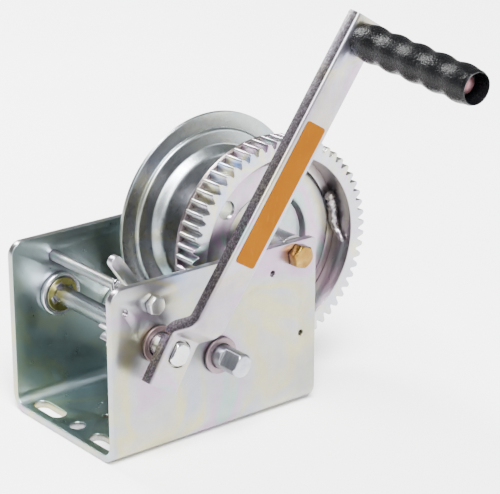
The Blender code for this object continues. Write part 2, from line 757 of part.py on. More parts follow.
def reel():
    """The reel and everything that turns with it, then the axle parts that stand still."""
    gear_side_flange()
    rear_flange()
    drum()
    ring_gear()
    weld_bead()
    front = hub_bushing("reel_front_bushing", GEAR_FLANGE_HUB_Y - FLANGE_SHEET / 2, -1)
    rear = hub_bushing("reel_rear_bushing", REAR_FLANGE_HUB_Y + FLANGE_SHEET / 2, 1)
    for name, outer, start, end in (
            ("axle_sleeve", SLEEVE_RADIUS, FRONT_INSIDE + GAP, REAR_INSIDE - GAP),
            ("front_axle_spacer", SPACER_RADIUS, FRONT_INSIDE + GAP, front - GAP),
            ("rear_axle_spacer", SPACER_RADIUS, rear + GAP, REAR_INSIDE - GAP)):
        inner = AXLE_BOLT_RADIUS + GAP if name == "axle_sleeve" else SLEEVE_RADIUS + GAP
        piece = dress(tube(name, outer, inner, start, end, 28), "clear_zinc")
        along_y(piece, REEL)
        shade(piece)
    nut_start = REAR_FACE + 2.3
    hex_bolt("reel_axle_bolt", REEL, "yellow_zinc", AXLE_HEAD, AXLE_HEAD_HEIGHT, AXLE_BOLT_RADIUS,
             FRONT_FACE - GAP, nut_start + 10.5)
    washer("reel_axle_washer", REEL, "yellow_zinc", 9.2, AXLE_BOLT_RADIUS + GAP,
           REAR_FACE + GAP, REAR_FACE + 2.0)
    hex_nut("reel_axle_nut", REEL, "yellow_zinc", AXLE_HEAD, AXLE_BOLT_RADIUS, nut_start, nut_start + 8.2)


# ---------------------------------------------------------------- pawl

def pawl():
    """A flat lever on the rod: a thumb finger above the plates and a nose beside the long pinion."""
    nose = polar(NOSE_REACH, math.radians(NOSE_ANGLE))
    heel = polar(NOSE_REACH - 5.4, math.radians(NOSE_ANGLE + 14))
    outline = arc(FINGER_RADIUS, FINGER_ANGLE - 90, FINGER_ANGLE + 90, 8, FINGER_TIP)
    outline += arc(PAWL_BOSS, FINGER_ANGLE, NOSE_ANGLE - 22, 5)
    outline += [nose, heel]
    outline += arc(PAWL_BOSS, NOSE_ANGLE + 38, FINGER_ANGLE + 270, 12)
    lever = extruded("pawl", [outline, circle(ROD_RADIUS + GAP, 20)], PAWL_END - PAWL_START)
    dress(lever, "clear_zinc")
    along_y(lever, PAWL_PIVOT, (PAWL_START + PAWL_END) / 2)
    shade(lever)


def pawl_spring():
    """A torsion spring coiled on the rod behind the pawl."""
    start = -(PAWL_END + 1.2)
    count = int(SPRING_TURNS * 10)
    points = []
    for i in range(count + 1):
        t = i / count
        x, y = polar(SPRING_RADIUS, 2 * math.pi * SPRING_TURNS * t)
        points.append((x, y, start - SPRING_TURNS * SPRING_PITCH * t, 1.0))
    first_leg = (SPRING_RADIUS, 9.0, points[0][2], 1.0)
    last_leg = (-SPRING_RADIUS, 8.0, points[-1][2], 1.0)
    spring = wire("pawl_spring", [first_leg] + points + [last_leg], SPRING_WIRE, "bright_steel")
    along_y(spring, PAWL_PIVOT)


def pawl_group():
    """The pawl, its spring, the rod that carries them and the clips that keep them in place."""
    pawl()
    pawl_spring()
    hex_bolt("pawl_rod", PAWL_PIVOT, "clear_zinc", ROD_HEAD, ROD_HEAD_HEIGHT, ROD_RADIUS,
             FRONT_FACE - GAP, REAR_FACE + 7.2)
    hex_nut("pawl_rod_nut", PAWL_PIVOT, "clear_zinc", ROD_HEAD, ROD_RADIUS,
            REAR_FACE + GAP, REAR_FACE + 5.8)
    snap_ring("pawl_clip_front", PAWL_PIVOT, PAWL_CLIP_RADIUS, ROD_RADIUS + GAP, PAWL_START - 1.5, PAWL_START - 0.4)
    snap_ring("pawl_clip_rear", PAWL_PIVOT, PAWL_CLIP_RADIUS, ROD_RADIUS + GAP, PAWL_END + 9.0, PAWL_END + 10.1)


# ---------------------------------------------------------------- crank

def crank_path():
    """The outer face of the crank seen from its side: (along the arm, outwards)."""
    sharp, gentle, steps = 4.0, 13.0, 8
    back = RAMP_ANGLE - CRANK_LEAN
    rise_sharp = sharp * (1 - math.cos(RAMP_ANGLE))
    rise_gentle = gentle * (math.cos(CRANK_LEAN) - math.cos(RAMP_ANGLE))
    ramp = (RAMP_OUT - rise_sharp - rise_gentle) / math.sin(RAMP_ANGLE)
    points = [(HUB_BOTTOM, 0.0)]
    points += arc(sharp, -90, -90 + math.degrees(RAMP_ANGLE), steps, (HUB_TOP, sharp))
    x, y = points[-1]
    x += ramp * math.cos(RAMP_ANGLE)
    y += ramp * math.sin(RAMP_ANGLE)
    centre = (x + gentle * math.sin(RAMP_ANGLE), y - gentle * math.cos(RAMP_ANGLE))
    first = 90 + math.degrees(RAMP_ANGLE)
    points += arc(gentle, first, first - math.degrees(back), steps, centre)
    x, y = points[-1]
    run = ARM_TOP - x
    points.append((ARM_TOP, y + run * math.tan(CRANK_LEAN)))
    return points


def offset_path(path, distance):
    """The same path moved inwards, towards the winch."""
    moved = []
    for i, point in enumerate(path):
        before = Vector(path[max(i - 1, 0)])
        after = Vector(path[min(i + 1, len(path) - 1)])
        here = Vector(point)
        first = (here - before).normalized() if i else (after - here).normalized()
        second = (after - here).normalized() if i < len(path) - 1 else first
        normal = Vector((first.y + second.y, -first.x - second.x)).normalized()
        stretch = 1 / max(normal.dot(Vector((first.y, -first.x))), 0.5)
        moved.append(tuple(here + normal * distance * stretch))
    return moved


def arm_height(along):
    """How far out the arm's face is, past its bends."""
    end = crank_path()[-1]
    return end[1] - (end[0] - along) * math.tan(CRANK_LEAN)


CRANK_FRAME = Matrix((
    (math.cos(CRANK_ANGLE), 0.0, math.sin(CRANK_ANGLE), SHAFT_A[0] * MM),
    (0.0, -1.0, 0.0, CRANK_FACE * MM),
    (math.sin(CRANK_ANGLE), 0.0, -math.cos(CRANK_ANGLE), SHAFT_A[1] * MM),
    (0.0, 0.0, 0.0, 1.0)))


def crank_place(along, outwards, tilt=True):
    """A frame on the arm: local Z points outwards, square to the leaning arm if tilt is set."""
    lean = CRANK_LEAN if tilt else 0.0
    local = Matrix.Translation((along * MM, outwards * MM, 0.0)) @ Matrix.Rotation(lean, 4, "Z")
    return CRANK_FRAME @ local @ Matrix.Rotation(-math.pi / 2, 4, "X")


def round_folds(builder, path, radius):
    """Rounds the two long folds on the crank's outer face."""
    edge = CRANK_WIDTH / 2 * MM
    close = 0.00002
    on_face = set()
    for vert in builder.verts:
        near = min((Vector((vert.co.x, vert.co.y)) - Vector(p) * MM).length for p in path)
        if near < close and abs(abs(vert.co.z) - edge) < close:
            on_face.add(vert)
    folds = [e for e in builder.edges if e.verts[0] in on_face and e.verts[1] in on_face
             and abs(e.verts[0].co.z - e.verts[1].co.z) < close]
    bmesh.ops.bevel(builder, geom=folds, offset=radius * MM, segments=3, profile=0.5, affect="EDGES")


def crank_arm():
    """A channel pressed from sheet: hub plate, offset bend and leaning arm."""
    path = crank_path()
    arm = extruded("crank_arm", [path + offset_path(path, CRANK_DEPTH)[::-1]], CRANK_WIDTH)
    builder = bmesh.new()
    builder.from_mesh(arm.data)
    round_folds(builder, path, 2.4)
    builder.to_mesh(arm.data)
    builder.free()
    arm.matrix_world = CRANK_FRAME

    long_path = [(path[0][0] - 10, path[0][1])] + path[1:-1]
    long_path += [(path[-1][0] + 10, path[-1][1] + 10 * math.tan(CRANK_LEAN))]
    inside = offset_path(long_path, CRANK_SHEET) + offset_path(long_path, CRANK_DEPTH + 1.5)[::-1]
    hollow = extruded("cut_crank_hollow", [inside], CRANK_WIDTH - 2 * CRANK_SHEET, cutter=True)
    hollow.matrix_world = CRANK_FRAME
    combine(arm, hollow)

    eye = extruded("cut_crank_hole", [double_d_outline(EYE_RADIUS, EYE_HALF)],
                   4 * CRANK_SHEET, cutter=True)
    eye.matrix_world = crank_place(0.0, -CRANK_SHEET / 2, False)
    combine(arm, eye)
    bolt_hole = rod_cutter("cut_grip_bolt_hole", GRIP_BOLT_RADIUS + GAP, 4 * CRANK_SHEET, 24)
    bolt_hole.matrix_world = crank_place(GRIP_REACH, arm_height(GRIP_REACH))
    combine(arm, bolt_hole)
    for hand in (-1, 1):
        builder = bmesh.new()
        bmesh.ops.create_cube(builder, size=1.0)
        notch = add_mesh(f"cut_crank_notch_{hand}", builder, cutter=True)
        notch.data.transform(Matrix.Diagonal((2.0 * MM, 12.0 * MM, 8.0 * MM, 1.0)))
        side = Matrix.Translation(((HUB_TOP + 1.2) * MM, -8.6 * MM, hand * CRANK_WIDTH / 2 * MM))
        notch.matrix_world = CRANK_FRAME @ side
        combine(arm, notch)
    dress(arm, "clear_zinc")
    apply_modifiers(arm)
    shade(arm, 30)


def crank_label():
    """A blank label on the arm's outer face."""
    corner = 2.0
    half = (LABEL_END - LABEL_START) / 2 / math.cos(CRANK_LEAN)
    side = LABEL_WIDTH / 2
    outline = []
    for turn, x, y in ((0, 1, 1), (90, -1, 1), (180, -1, -1), (270, 1, -1)):
        outline += arc(corner, turn, turn + 90, 3, (x * (half - corner), y * (side - corner)))
    label = dress(extruded("crank_label", [outline], LABEL_SHEET), "orange_label")
    middle = (LABEL_START + LABEL_END) / 2
    lift = Matrix.Translation((0.0, 0.0, (LABEL_LIFT + LABEL_SHEET / 2) * MM))
    label.matrix_world = crank_place(middle, arm_height(middle)) @ lift


def grip_axis():
    """Places a piece on the grip's axis; local Z = 0 is the arm's outer face."""
    return crank_place(GRIP_REACH, arm_height(GRIP_REACH))


def grip():
    """A hollow plastic grip with finger bulges and an open end."""
    steps = 4 * FINGER_COUNT
    start, end = 0.6, GRIP_LENGTH
    outside = []
    for i in range(steps + 1):
        t = i / steps
        wave = 0.5 - 0.5 * math.cos(2 * math.pi * FINGER_COUNT * t)
        outside.append((GRIP_RADIUS - FINGER_DEPTH + FINGER_DEPTH * wave, start + 2 + (end - start - 4) * t))
    outside = [(outside[0][0] - 1.0, start)] + outside + [(outside[-1][0] - 0.8, end)]
    floor = end - GRIP_SOCKET_DEPTH
    inside = [(GRIP_SOCKET_RADIUS + 0.3, end), (GRIP_SOCKET_RADIUS, end - 1.5),
              (GRIP_SOCKET_RADIUS, floor), (GRIP_BORE, floor), (GRIP_BORE, start)]
    piece = dress(turned("crank_grip", outside + inside, 24), "black_plastic")
    piece.matrix_world = grip_axis()
    shade(piece)


def grip_bolt():
    """The bolt that the grip turns on: a round head in the socket and a shank through the arm."""
    under = GRIP_LENGTH - GRIP_SOCKET_DEPTH + GAP
    top = under + GRIP_HEAD_HEIGHT
    back = -(CRANK_SHEET + 6.6)
    profile = [(0.0, top), (GRIP_HEAD_RADIUS * 0.55, top - 0.5), (GRIP_HEAD_RADIUS * 0.9, top - 1.8),
               (GRIP_HEAD_RADIUS, top - 3.4), (GRIP_HEAD_RADIUS, under), (GRIP_BOLT_RADIUS, under),
               (GRIP_BOLT_RADIUS, back + 0.6), (GRIP_BOLT_RADIUS - 0.6, back), (0.0, back)]
    bolt = dress(turned("grip_bolt", profile, 24), "rivet_red")
    bolt.matrix_world = grip_axis()
    shade(bolt)


def grip_nut():
    """The nut behind the arm that holds the grip bolt."""
    top = -(CRANK_SHEET + GAP)
    nut = prism("grip_nut", GRIP_NUT, top - GRIP_NUT_HEIGHT, top, 0.3)
    hole = rod_cutter("cut_grip_nut", GRIP_BOLT_RADIUS + GAP, 40.0, 24)
    for piece in (nut, hole):
        piece.matrix_world = grip_axis()
    combine(nut, hole)
    dress(nut, "bright_steel")
    apply_modifiers(nut)


# ---------------------------------------------------------------- whole winch

def build_winch():
    start_scene()
    base_frame()
    for letter, axis in (("a", SHAFT_A), ("b", SHAFT_B)):
        front_bushing(f"front_bushing_{letter}", axis)
        rear_bushing(f"rear_bushing_{letter}", axis)
    drive_shafts()
    reel()
    pawl_group()
    crank_arm()
    crank_label()
    grip()
    grip_bolt()
    grip_nut()
    bpy.context.view_layer.update()


build_winch()
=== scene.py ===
import json
import math

import bmesh
import bpy
from mathutils import Matrix, Vector, noise
from mathutils.geometry import delaunay_2d_cdt


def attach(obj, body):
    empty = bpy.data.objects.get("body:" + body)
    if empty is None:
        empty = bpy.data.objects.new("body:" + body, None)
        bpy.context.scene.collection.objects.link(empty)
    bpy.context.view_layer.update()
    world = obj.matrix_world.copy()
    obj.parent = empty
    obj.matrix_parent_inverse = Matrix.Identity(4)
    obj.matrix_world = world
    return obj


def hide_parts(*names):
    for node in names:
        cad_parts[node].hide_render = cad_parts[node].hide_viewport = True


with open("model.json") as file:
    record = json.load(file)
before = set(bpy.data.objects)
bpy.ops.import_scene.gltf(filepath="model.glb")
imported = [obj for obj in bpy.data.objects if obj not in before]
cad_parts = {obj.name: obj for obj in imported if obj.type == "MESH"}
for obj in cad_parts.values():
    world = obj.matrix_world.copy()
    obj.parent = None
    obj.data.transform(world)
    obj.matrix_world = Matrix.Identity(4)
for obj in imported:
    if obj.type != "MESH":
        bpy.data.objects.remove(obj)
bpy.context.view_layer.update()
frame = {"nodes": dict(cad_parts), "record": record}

MM = 0.001

# ---------------------------------------------------------------- dimensions, in millimetres

FRAME_WIDTH = 116.5
PLATE = 5.0
FRONT_FACE = -FRAME_WIDTH / 2
REAR_FACE = FRAME_WIDTH / 2
FRONT_INSIDE = FRONT_FACE + PLATE
REAR_INSIDE = REAR_FACE - PLATE
GAP = 0.3
EDGE_STEPS = 3                 # steps round a plate's softened edge
SHARP_EDGE = math.radians(30)  # edges sharper than this are softened

SHAFT_A = (-47.0, 76.0)
SHAFT_B = (1.595425, 55.097975)
REEL = (66.4, 108.7)

MODULE = 2.4
PRESSURE_ANGLE = math.radians(25)
BACKLASH = 0.45
ADDENDUM = 0.95 * MODULE
DEDENDUM = 1.25 * MODULE
RING_ADDENDUM = 1.5
RING_DEDENDUM = 3.5
RING_TEETH = 60
RING_PHASE = math.radians(1.5)

SHAFT_RADIUS = 7.94
JOURNAL_RADIUS = 6.35
RING_FRONT = -41.4
RING_REAR = -23.8
RING_BORE = 61.5
FLANGE_RADIUS = 75.2
FLANGE_SHEET = 2.8
REAR_FLANGE_HUB_Y = 25.9
REAR_FLANGE_RING_Y = 32.2
REAR_FLANGE_RIM_Y = 34.8
GEAR_FLANGE_RADIUS = 72.2
GEAR_FLANGE_HUB_Y = -21.1
GEAR_FLANGE_FLAT_Y = -25.4
GEAR_FLANGE_RIM_Y = -22.1
CABLE_HOLE_RADIUS = 6.4
CABLE_HOLE_REACH = 44.5
CABLE_HOLE_ANGLE = math.radians(139)
HUB_BORE = 11.2
HUB_FRONT = GEAR_FLANGE_HUB_Y - FLANGE_SHEET / 2
HUB_REAR = REAR_FLANGE_HUB_Y + FLANGE_SHEET / 2
HUB_BUSHING_FLANGE = 2.8
DRUM_RADIUS = 25.4
DRUM_WALL = 3.0
AXLE_BOLT_RADIUS = 4.76
SLEEVE_RADIUS = 7.95
SPACER_RADIUS = 11.5
FRONT_BUSHING_FLANGE = 2.2
REAR_BUSHING_FLANGE = 3.0

CRANK_ANGLE = math.radians(58.5)
CRANK_LEAN = math.radians(5.0)
CRANK_FACE = -80.75
HUB_TOP = 7.7
RAMP_ANGLE = math.radians(60)
RAMP_OUT = 17.0
SHARP_BEND = 4.0
GENTLE_BEND = 13.0
CRANK_HALF = 12.0
GRIP_REACH = 219.9
GRIP_CLEARANCE = 0.6
GRIP_LENGTH = 104.0
GRIP_RADIUS = 11.9
GRIP_BORE = 5.1
GRIP_SOCKET_RADIUS = 9.3
GRIP_SOCKET_DEPTH = 12.5
FINGER_COUNT = 5
FINGER_DEPTH = 1.2


# ---------------------------------------------------------------- flat geometry

def polar(radius, angle, centre=(0.0, 0.0)):
    """A point at a distance and angle from a centre."""
    return (centre[0] + radius * math.cos(angle), centre[1] + radius * math.sin(angle))


def arc(radius, start, end, steps, centre=(0.0, 0.0)):
    """Points on an arc, both ends included, angles in degrees."""
    turn = math.radians(end - start) / steps
    return [polar(radius, math.radians(start) + turn * i, centre) for i in range(steps + 1)]


def circle(radius, steps=48, centre=(0.0, 0.0)):
    """A closed round outline."""
    return [polar(radius, 2 * math.pi * i / steps, centre) for i in range(steps)]


def moved(loop, centre):
    """An outline shifted to a centre."""
    return [(x + centre[0], y + centre[1]) for x, y in loop]


def signed_area(loop):
    """Positive when the outline runs anticlockwise."""
    return sum(a[0] * b[1] - b[0] * a[1] for a, b in zip(loop, loop[1:] + loop[:1])) / 2


def filleted(points, radius, closed=True, steps=4, limit=20.0):
    """Rounds every corner of a polygon that turns by more than limit degrees."""
    count = len(points)
    result = []
    for i in range(count):
        here = Vector(points[i])
        if not closed and i in (0, count - 1):
            result.append(tuple(here))
            continue
        before = Vector(points[i - 1]) - here
        after = Vector(points[(i + 1) % count]) - here
        if before.length < 1e-6 or after.length < 1e-6:
            continue
        turn = math.pi - before.angle(after)
        if turn < math.radians(limit):
            result.append(tuple(here))
            continue
        reach = min(radius * math.tan(turn / 2), 0.45 * before.length, 0.45 * after.length)
        size = reach / math.tan(turn / 2)
        a = here + before.normalized() * reach
        b = here + after.normalized() * reach
        bisector = (before.normalized() + after.normalized()).normalized()
        centre = here + bisector * size / math.cos(turn / 2)
        start = a - centre
        end = b - centre
        sweep = start.angle_signed(end)
        for k in range(steps + 1):
            angle = -sweep * k / steps
            spun = Vector((start.x * math.cos(angle) - start.y * math.sin(angle),
                           start.x * math.sin(angle) + start.y * math.cos(angle)))
            result.append(tuple(centre + spun))
    return result


def shifted_loop(loop, distance):
    """A closed loop moved sideways: inwards for an anticlockwise loop and a positive distance."""
    result = []
    count = len(loop)
    for i in range(count):
        here = Vector(loop[i])
        first = (here - Vector(loop[i - 1])).normalized()
        second = (Vector(loop[(i + 1) % count]) - here).normalized()
        normal = Vector((-first.y - second.y, first.x + second.x))
        if normal.length < 1e-6:
            normal = Vector((-first.y, first.x))
        normal.normalize()
        stretch = 1 / max(normal.dot(Vector((-first.y, first.x))), 0.6)
        result.append(tuple(here + normal * distance * stretch))
    return result


def tooth_outline(teeth, phase, addendum=ADDENDUM, dedendum=DEDENDUM, tip_round=0.0, flank_steps=5):
    """An involute gear's outline, thinned for backlash, with its tips rounded."""
    pitch = MODULE * teeth / 2
    base = pitch * math.cos(PRESSURE_ANGLE)
    root = pitch - dedendum
    tip = pitch + addendum
    involute = math.tan(PRESSURE_ANGLE) - PRESSURE_ANGLE
    half = math.pi / (2 * teeth) - BACKLASH / (4 * pitch) + involute
    undercut = 0.02

    def half_angle(radius):
        if radius <= base:
            return half - undercut * (base - radius)
        rolled = math.acos(base / radius)
        return half - (math.tan(rolled) - rolled)

    start = max(root, base)
    flank = [root] if root < base else []
    flank += [start + (tip - start) * i / flank_steps for i in range(flank_steps + 1)]
    outline = []
    for i in range(teeth):
        centre = phase + 2 * math.pi * i / teeth
        outline += [polar(r, centre - half_angle(r)) for r in flank]
        outline += [polar(r, centre + half_angle(r)) for r in reversed(flank)]
    return filleted(outline, tip_round, limit=28, steps=3) if tip_round else outline


# ---------------------------------------------------------------- solid geometry

def link_mesh(name, builder, smooth=35):
    """Turns a finished bmesh into an object in the scene."""
    bmesh.ops.remove_doubles(builder, verts=builder.verts, dist=1e-7)
    bmesh.ops.recalc_face_normals(builder, faces=builder.faces)
    mesh = bpy.data.meshes.new(name)
    builder.to_mesh(mesh)
    builder.free()
    piece = bpy.data.objects.new(name, mesh)
    bpy.context.scene.collection.objects.link(piece)
    mesh.shade_smooth()
    mesh.set_sharp_from_angle(angle=math.radians(smooth))
    return piece


def lathe(name, profile, centre, steps=96, smooth=40):
    """A solid of revolution about a line along Y; the profile is (radius, Y) in millimetres."""
    builder = bmesh.new()
    rings = []
    for radius, y in profile:
        if radius < 1e-6:
            rings.append([builder.verts.new((centre[0] * MM, y * MM, centre[1] * MM))])
            continue
        ring = []
        for x, z in circle(radius, steps, centre):
            ring.append(builder.verts.new((x * MM, y * MM, z * MM)))
        rings.append(ring)
    pairs = list(zip(rings, rings[1:]))
    if len(rings[0]) > 1:
        pairs.append((rings[-1], rings[0]))
    for first, second in pairs:
        for i in range(steps):
            j = (i + 1) % steps
            corners = []
            for ring, index in ((first, i), (first, j), (second, j), (second, i)):
                vert = ring[index % len(ring)]
                if vert not in corners:
                    corners.append(vert)
            if len(corners) > 2:
                builder.faces.new(corners)
    return link_mesh(name, builder, smooth)


def triangulated(loops):
    """Triangles that fill the outer loop and leave the others open, and where each point came from."""
    points = []
    edges = []
    for loop in loops:
        first = len(points)
        points += [Vector(p) for p in loop]
        edges += [(first + i, first + (i + 1) % len(loop)) for i in range(len(loop))]
    faces = []
    found, _, triangles, origins, _, _ = delaunay_2d_cdt(points, edges, [], 1, 1e-7)
    for triangle in triangles:
        middle = sum((found[i] for i in triangle), Vector((0.0, 0.0))) / len(triangle)
        if all(not inside(middle, loop) for loop in loops[1:]):
            faces.append(tuple(triangle))
    return faces, origins


def inside(point, loop):
    """Whether a point lies within a closed outline."""
    odd = False
    x, y = point
    for (ax, ay), (bx, by) in zip(loop, loop[1:] + loop[:1]):
        if (ay > y) != (by > y) and x < (bx - ax) * (y - ay) / (by - ay) + ax:
            odd = not odd
    return odd


def plate(name, loops, front, rear, edge, smooth):
    """A flat piece between Y = front and Y = rear, with softly rounded edges all round.

    loops are (x, z) outlines in millimetres; the first is the outside and the rest are holes.
    """
    loops = [loop if (signed_area(loop) > 0) == (k == 0) else loop[::-1] for k, loop in enumerate(loops)]
    builder = bmesh.new()
    levels = []
    for k in range(EDGE_STEPS + 1):
        angle = math.pi / 2 * k / EDGE_STEPS
        levels.append((edge * (1 - math.sin(angle)), front + edge * (1 - math.cos(angle))))
    levels += [(inset, rear - (y - front)) for inset, y in reversed(levels)]
    rows = []
    for loop in loops:
        row = []
        for inset, y in levels:
            ring = []
            for x, z in shifted_loop(loop, inset):
                ring.append(builder.verts.new((x * MM, y * MM, z * MM)))
            row.append(ring)
        rows.append(row)
        for first, second in zip(row, row[1:]):
            count = len(first)
            for i in range(count):
                j = (i + 1) % count
                builder.faces.new((first[i], first[j], second[j], second[i]))
    for end in (0, -1):
        inset = levels[end][0]
        outlines = [shifted_loop(loop, inset) for loop in loops]
        faces, origins = triangulated(outlines)
        flat = [vert for row in rows for vert in row[end]]
        for face in faces:
            corners = [flat[origins[i][0]] for i in face]
            if len(set(corners)) == 3:
                builder.faces.new(corners)
    return link_mesh(name, builder, smooth)


def softened(name, node, width, segments=2, smooth=35):
    """A CAD node's own shape with its sharp edges rounded."""
    source = frame["nodes"][node]
    builder = bmesh.new()
    builder.from_mesh(source.data)
    bmesh.ops.remove_doubles(builder, verts=builder.verts, dist=2e-6)
    bmesh.ops.dissolve_limit(builder, angle_limit=math.radians(0.4), use_dissolve_boundaries=False,
                             verts=builder.verts, edges=builder.edges)
    piece = link_mesh(name, builder, smooth)
    bevel = piece.modifiers.new("edges", "BEVEL")
    bevel.width = width * MM
    bevel.segments = segments
    bevel.limit_method = "ANGLE"
    bevel.angle_limit = SHARP_EDGE
    bevel.use_clamp_overlap = False
    bevel.miter_outer = "MITER_ARC"
    bevel.harden_normals = False
    shape = piece.evaluated_get(bpy.context.evaluated_depsgraph_get())
    mesh = bpy.data.meshes.new_from_object(shape)
    piece.modifiers.clear()
    piece.data = mesh
    mesh.shade_smooth()
    mesh.set_sharp_from_angle(angle=math.radians(smooth))
    return piece


BODY_OF = {}
for body_name, body_nodes in frame["record"]["behaviour"]["bodies"].items():
    for node_name in body_nodes:
        BODY_OF[node_name] = body_name


def show(piece, node, material):
    """Lets a finished piece stand for a CAD node."""
    piece.data.materials.clear()
    piece.data.materials.append(material)
    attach(piece, BODY_OF[node])
    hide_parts(node)
    return piece


# ---------------------------------------------------------------- materials

class Finish:
    """Builds one node material; inputs are sockets, numbers or colours."""

    def __init__(self, name):
        self.material = bpy.data.materials.new(name)
        self.material.use_nodes = True
        self.tree = self.material.node_tree
        self.shader = self.tree.nodes["Principled BSDF"]
        self.place = self.tree.nodes.new("ShaderNodeTexCoord").outputs["Object"]

    def put(self, socket, value):
        if isinstance(value, bpy.types.NodeSocket):
            self.tree.links.new(value, socket)
        elif isinstance(value, tuple) and len(value) == 3 and socket.type == "RGBA":
            socket.default_value = (*value, 1.0)
        else:
            socket.default_value = value

    def node(self, kind, settings=None, **inputs):
        made = self.tree.nodes.new("ShaderNode" + kind)
        for key, value in (settings or {}).items():
            setattr(made, key, value)
        for key, value in inputs.items():
            self.put(made.inputs[int(key[1:]) if key[0] == "_" else key.replace("_", " ")], value)
        return made

    def scaled(self, scale, centre=(0.0, 0.0, 0.0), turn=(0.0, 0.0, 0.0)):
        """The object's coordinates, moved to a centre, turned and stretched."""
        moved_place = self.node("VectorMath", {"operation": "SUBTRACT"}, _0=self.place, _1=centre)
        mapped = self.node("Mapping", {}, Vector=moved_place.outputs[0], Rotation=turn, Scale=scale)
        return mapped.outputs[0]

    def noise(self, scale, detail=3.0, roughness=0.5, distortion=0.0, vector=None):
        made = self.node("TexNoise", {}, Vector=vector or self.place, Scale=scale, Detail=detail,
                         Roughness=roughness, Distortion=distortion)
        return made.outputs["Fac"]

    def math(self, operation, a, b=0.0, clamp=False):
        made = self.node("Math", {"operation": operation, "use_clamp": clamp}, _0=a, _1=b)
        return made.outputs[0]

    def span(self, value, low, high, out_low=0.0, out_high=1.0, smooth=True):
        kind = "SMOOTHSTEP" if smooth else "LINEAR"
        made = self.node("MapRange", {"interpolation_type": kind}, Value=value, _1=low, _2=high,
                         _3=out_low, _4=out_high)
        return made.outputs[0]

    def ramp(self, value, stops):
        made = self.node("ValToRGB", {}, Fac=value)
        made.color_ramp.interpolation = "EASE"
        while len(made.color_ramp.elements) < len(stops):
            made.color_ramp.elements.new(0.5)
        for element, (position, colour) in zip(made.color_ramp.elements, stops):
            element.position = position
            element.color = (*colour, 1.0)
        return made.outputs[0]

    def mix(self, factor, a, b):
        made = self.node("Mix", {"data_type": "RGBA", "blend_type": "MIX"}, _0=factor, _6=a, _7=b)
        return made.outputs[2]

    def rounded_normal(self, radius):
        made = self.tree.nodes.new("ShaderNodeBevel")
        made.samples = 4
        made.inputs["Radius"].default_value = radius
        return made.outputs["Normal"]

    def edge_mask(self, rounded):
        """1 on rounded edges, 0 on flat faces."""
        flat = self.tree.nodes.new("ShaderNodeNewGeometry").outputs["Normal"]
        same = self.node("VectorMath", {"operation": "DOT_PRODUCT"}, _0=rounded, _1=flat).outputs["Value"]
        return self.span(same, 0.995, 0.86)

    def crevice(self, distance):
        """1 in corners and seams, 0 in the open."""
        made = self.tree.nodes.new("ShaderNodeAmbientOcclusion")
        made.samples = 12
        made.inputs["Distance"].default_value = distance
        return self.math("SUBTRACT", 1.0, made.outputs["AO"])

    def reach(self, centre):
        """The distance from an axis along Y, in metres."""
        offset = self.scaled((1.0, 0.0, 1.0), (centre[0] * MM, 0.0, centre[1] * MM))
        return self.node("VectorMath", {"operation": "LENGTH"}, _0=offset).outputs["Value"]

    def bump(self, height, strength, distance, normal=None):
        made = self.node("Bump", {}, Height=height, Strength=strength, Distance=distance)
        if normal is not None:
            self.tree.links.new(normal, made.inputs["Normal"])
        return made.outputs["Normal"]

    def finish(self, colour, roughness, metallic, normal, **constants):
        self.put(self.shader.inputs["Base Color"], colour)
        self.put(self.shader.inputs["Roughness"], roughness)
        self.put(self.shader.inputs["Metallic"], metallic)
        self.put(self.shader.inputs["Normal"], normal)
        for key, value in constants.items():
            self.put(self.shader.inputs[key.replace("_", " ")], value)
        return self.material


ZINC_TINTS = [
    (0.00, (0.24, 0.32, 0.50)),
    (0.30, (0.35, 0.37, 0.42)),
    (0.44, (0.45, 0.43, 0.27)),
    (0.55, (0.40, 0.40, 0.41)),
    (0.68, (0.43, 0.31, 0.42)),
    (0.82, (0.26, 0.40, 0.36)),
    (1.00, (0.47, 0.41, 0.23)),
]
FRAME_DEPTH = 0.72
FRAME_STRENGTH = 1.25


def deepened(tint):
    """A tint as the frame has it: darker than on the other pieces, and stronger in colour."""
    grey = sum(tint) / 3
    return tuple(FRAME_DEPTH * (grey + FRAME_STRENGTH * (c - grey)) for c in tint)


FRAME_TINTS = [(place, deepened(tint)) for place, tint in ZINC_TINTS]
YELLOW_TINTS = [
    (0.00, (0.10, 0.045, 0.016)),
    (0.35, (0.27, 0.160, 0.035)),
    (0.50, (0.33, 0.215, 0.060)),
    (0.66, (0.21, 0.130, 0.042)),
    (0.82, (0.16, 0.075, 0.036)),
    (1.00, (0.20, 0.185, 0.090)),
]
BRONZE_TINTS = [(0.0, (0.085, 0.050, 0.048)), (0.5, (0.15, 0.105, 0.110)), (1.0, (0.20, 0.14, 0.14))]
LILAC_TINTS = [(0.0, (0.12, 0.075, 0.07)), (0.5, (0.20, 0.16, 0.18)), (1.0, (0.16, 0.12, 0.15))]
HUB_TINTS = [(0.0, (0.30, 0.17, 0.13)), (1.0, (0.52, 0.42, 0.40))]
STUB_TINTS = [(0.0, (0.28, 0.30, 0.37)), (0.6, (0.46, 0.44, 0.42)), (1.0, (0.38, 0.28, 0.20))]
OLIVE_TINTS = [(0.0, (0.10, 0.10, 0.025)), (0.5, (0.20, 0.19, 0.06)), (1.0, (0.13, 0.14, 0.055))]
RED_TINTS = [(0.0, (0.09, 0.03, 0.035)), (1.0, (0.30, 0.16, 0.18))]

GREY = (0.34, 0.35, 0.38)
BRIGHT = (0.42, 0.43, 0.46)
CLIP = (0.30, 0.30, 0.32)
GOLD = (0.150, 0.078, 0.017)
BROWN = (0.115, 0.080, 0.080)
WORN = (0.80, 0.80, 0.82)
WEAR = 0.5
EDGE_ROUND = 0.35
# grime that is also painted shade, for corners and seams
CORNER_GRIME_AND_SHADE = (0.045, 0.042, 0.040)
# painted shade and reflection tint for the inside of the channel
CHANNEL_SHADE_TINT = (0.22, 0.36, 0.34)
# painted shade for the crank arm's side flanges
FLANGE_SHADE = (0.095, 0.080, 0.092)
# painted shade at the foot of the reel ring's wall and on its inner wall
DISH_FOOT_SHADE = (0.17, 0.13, 0.13)
RING_WALL_SHADE = (0.235, 0.210, 0.215)


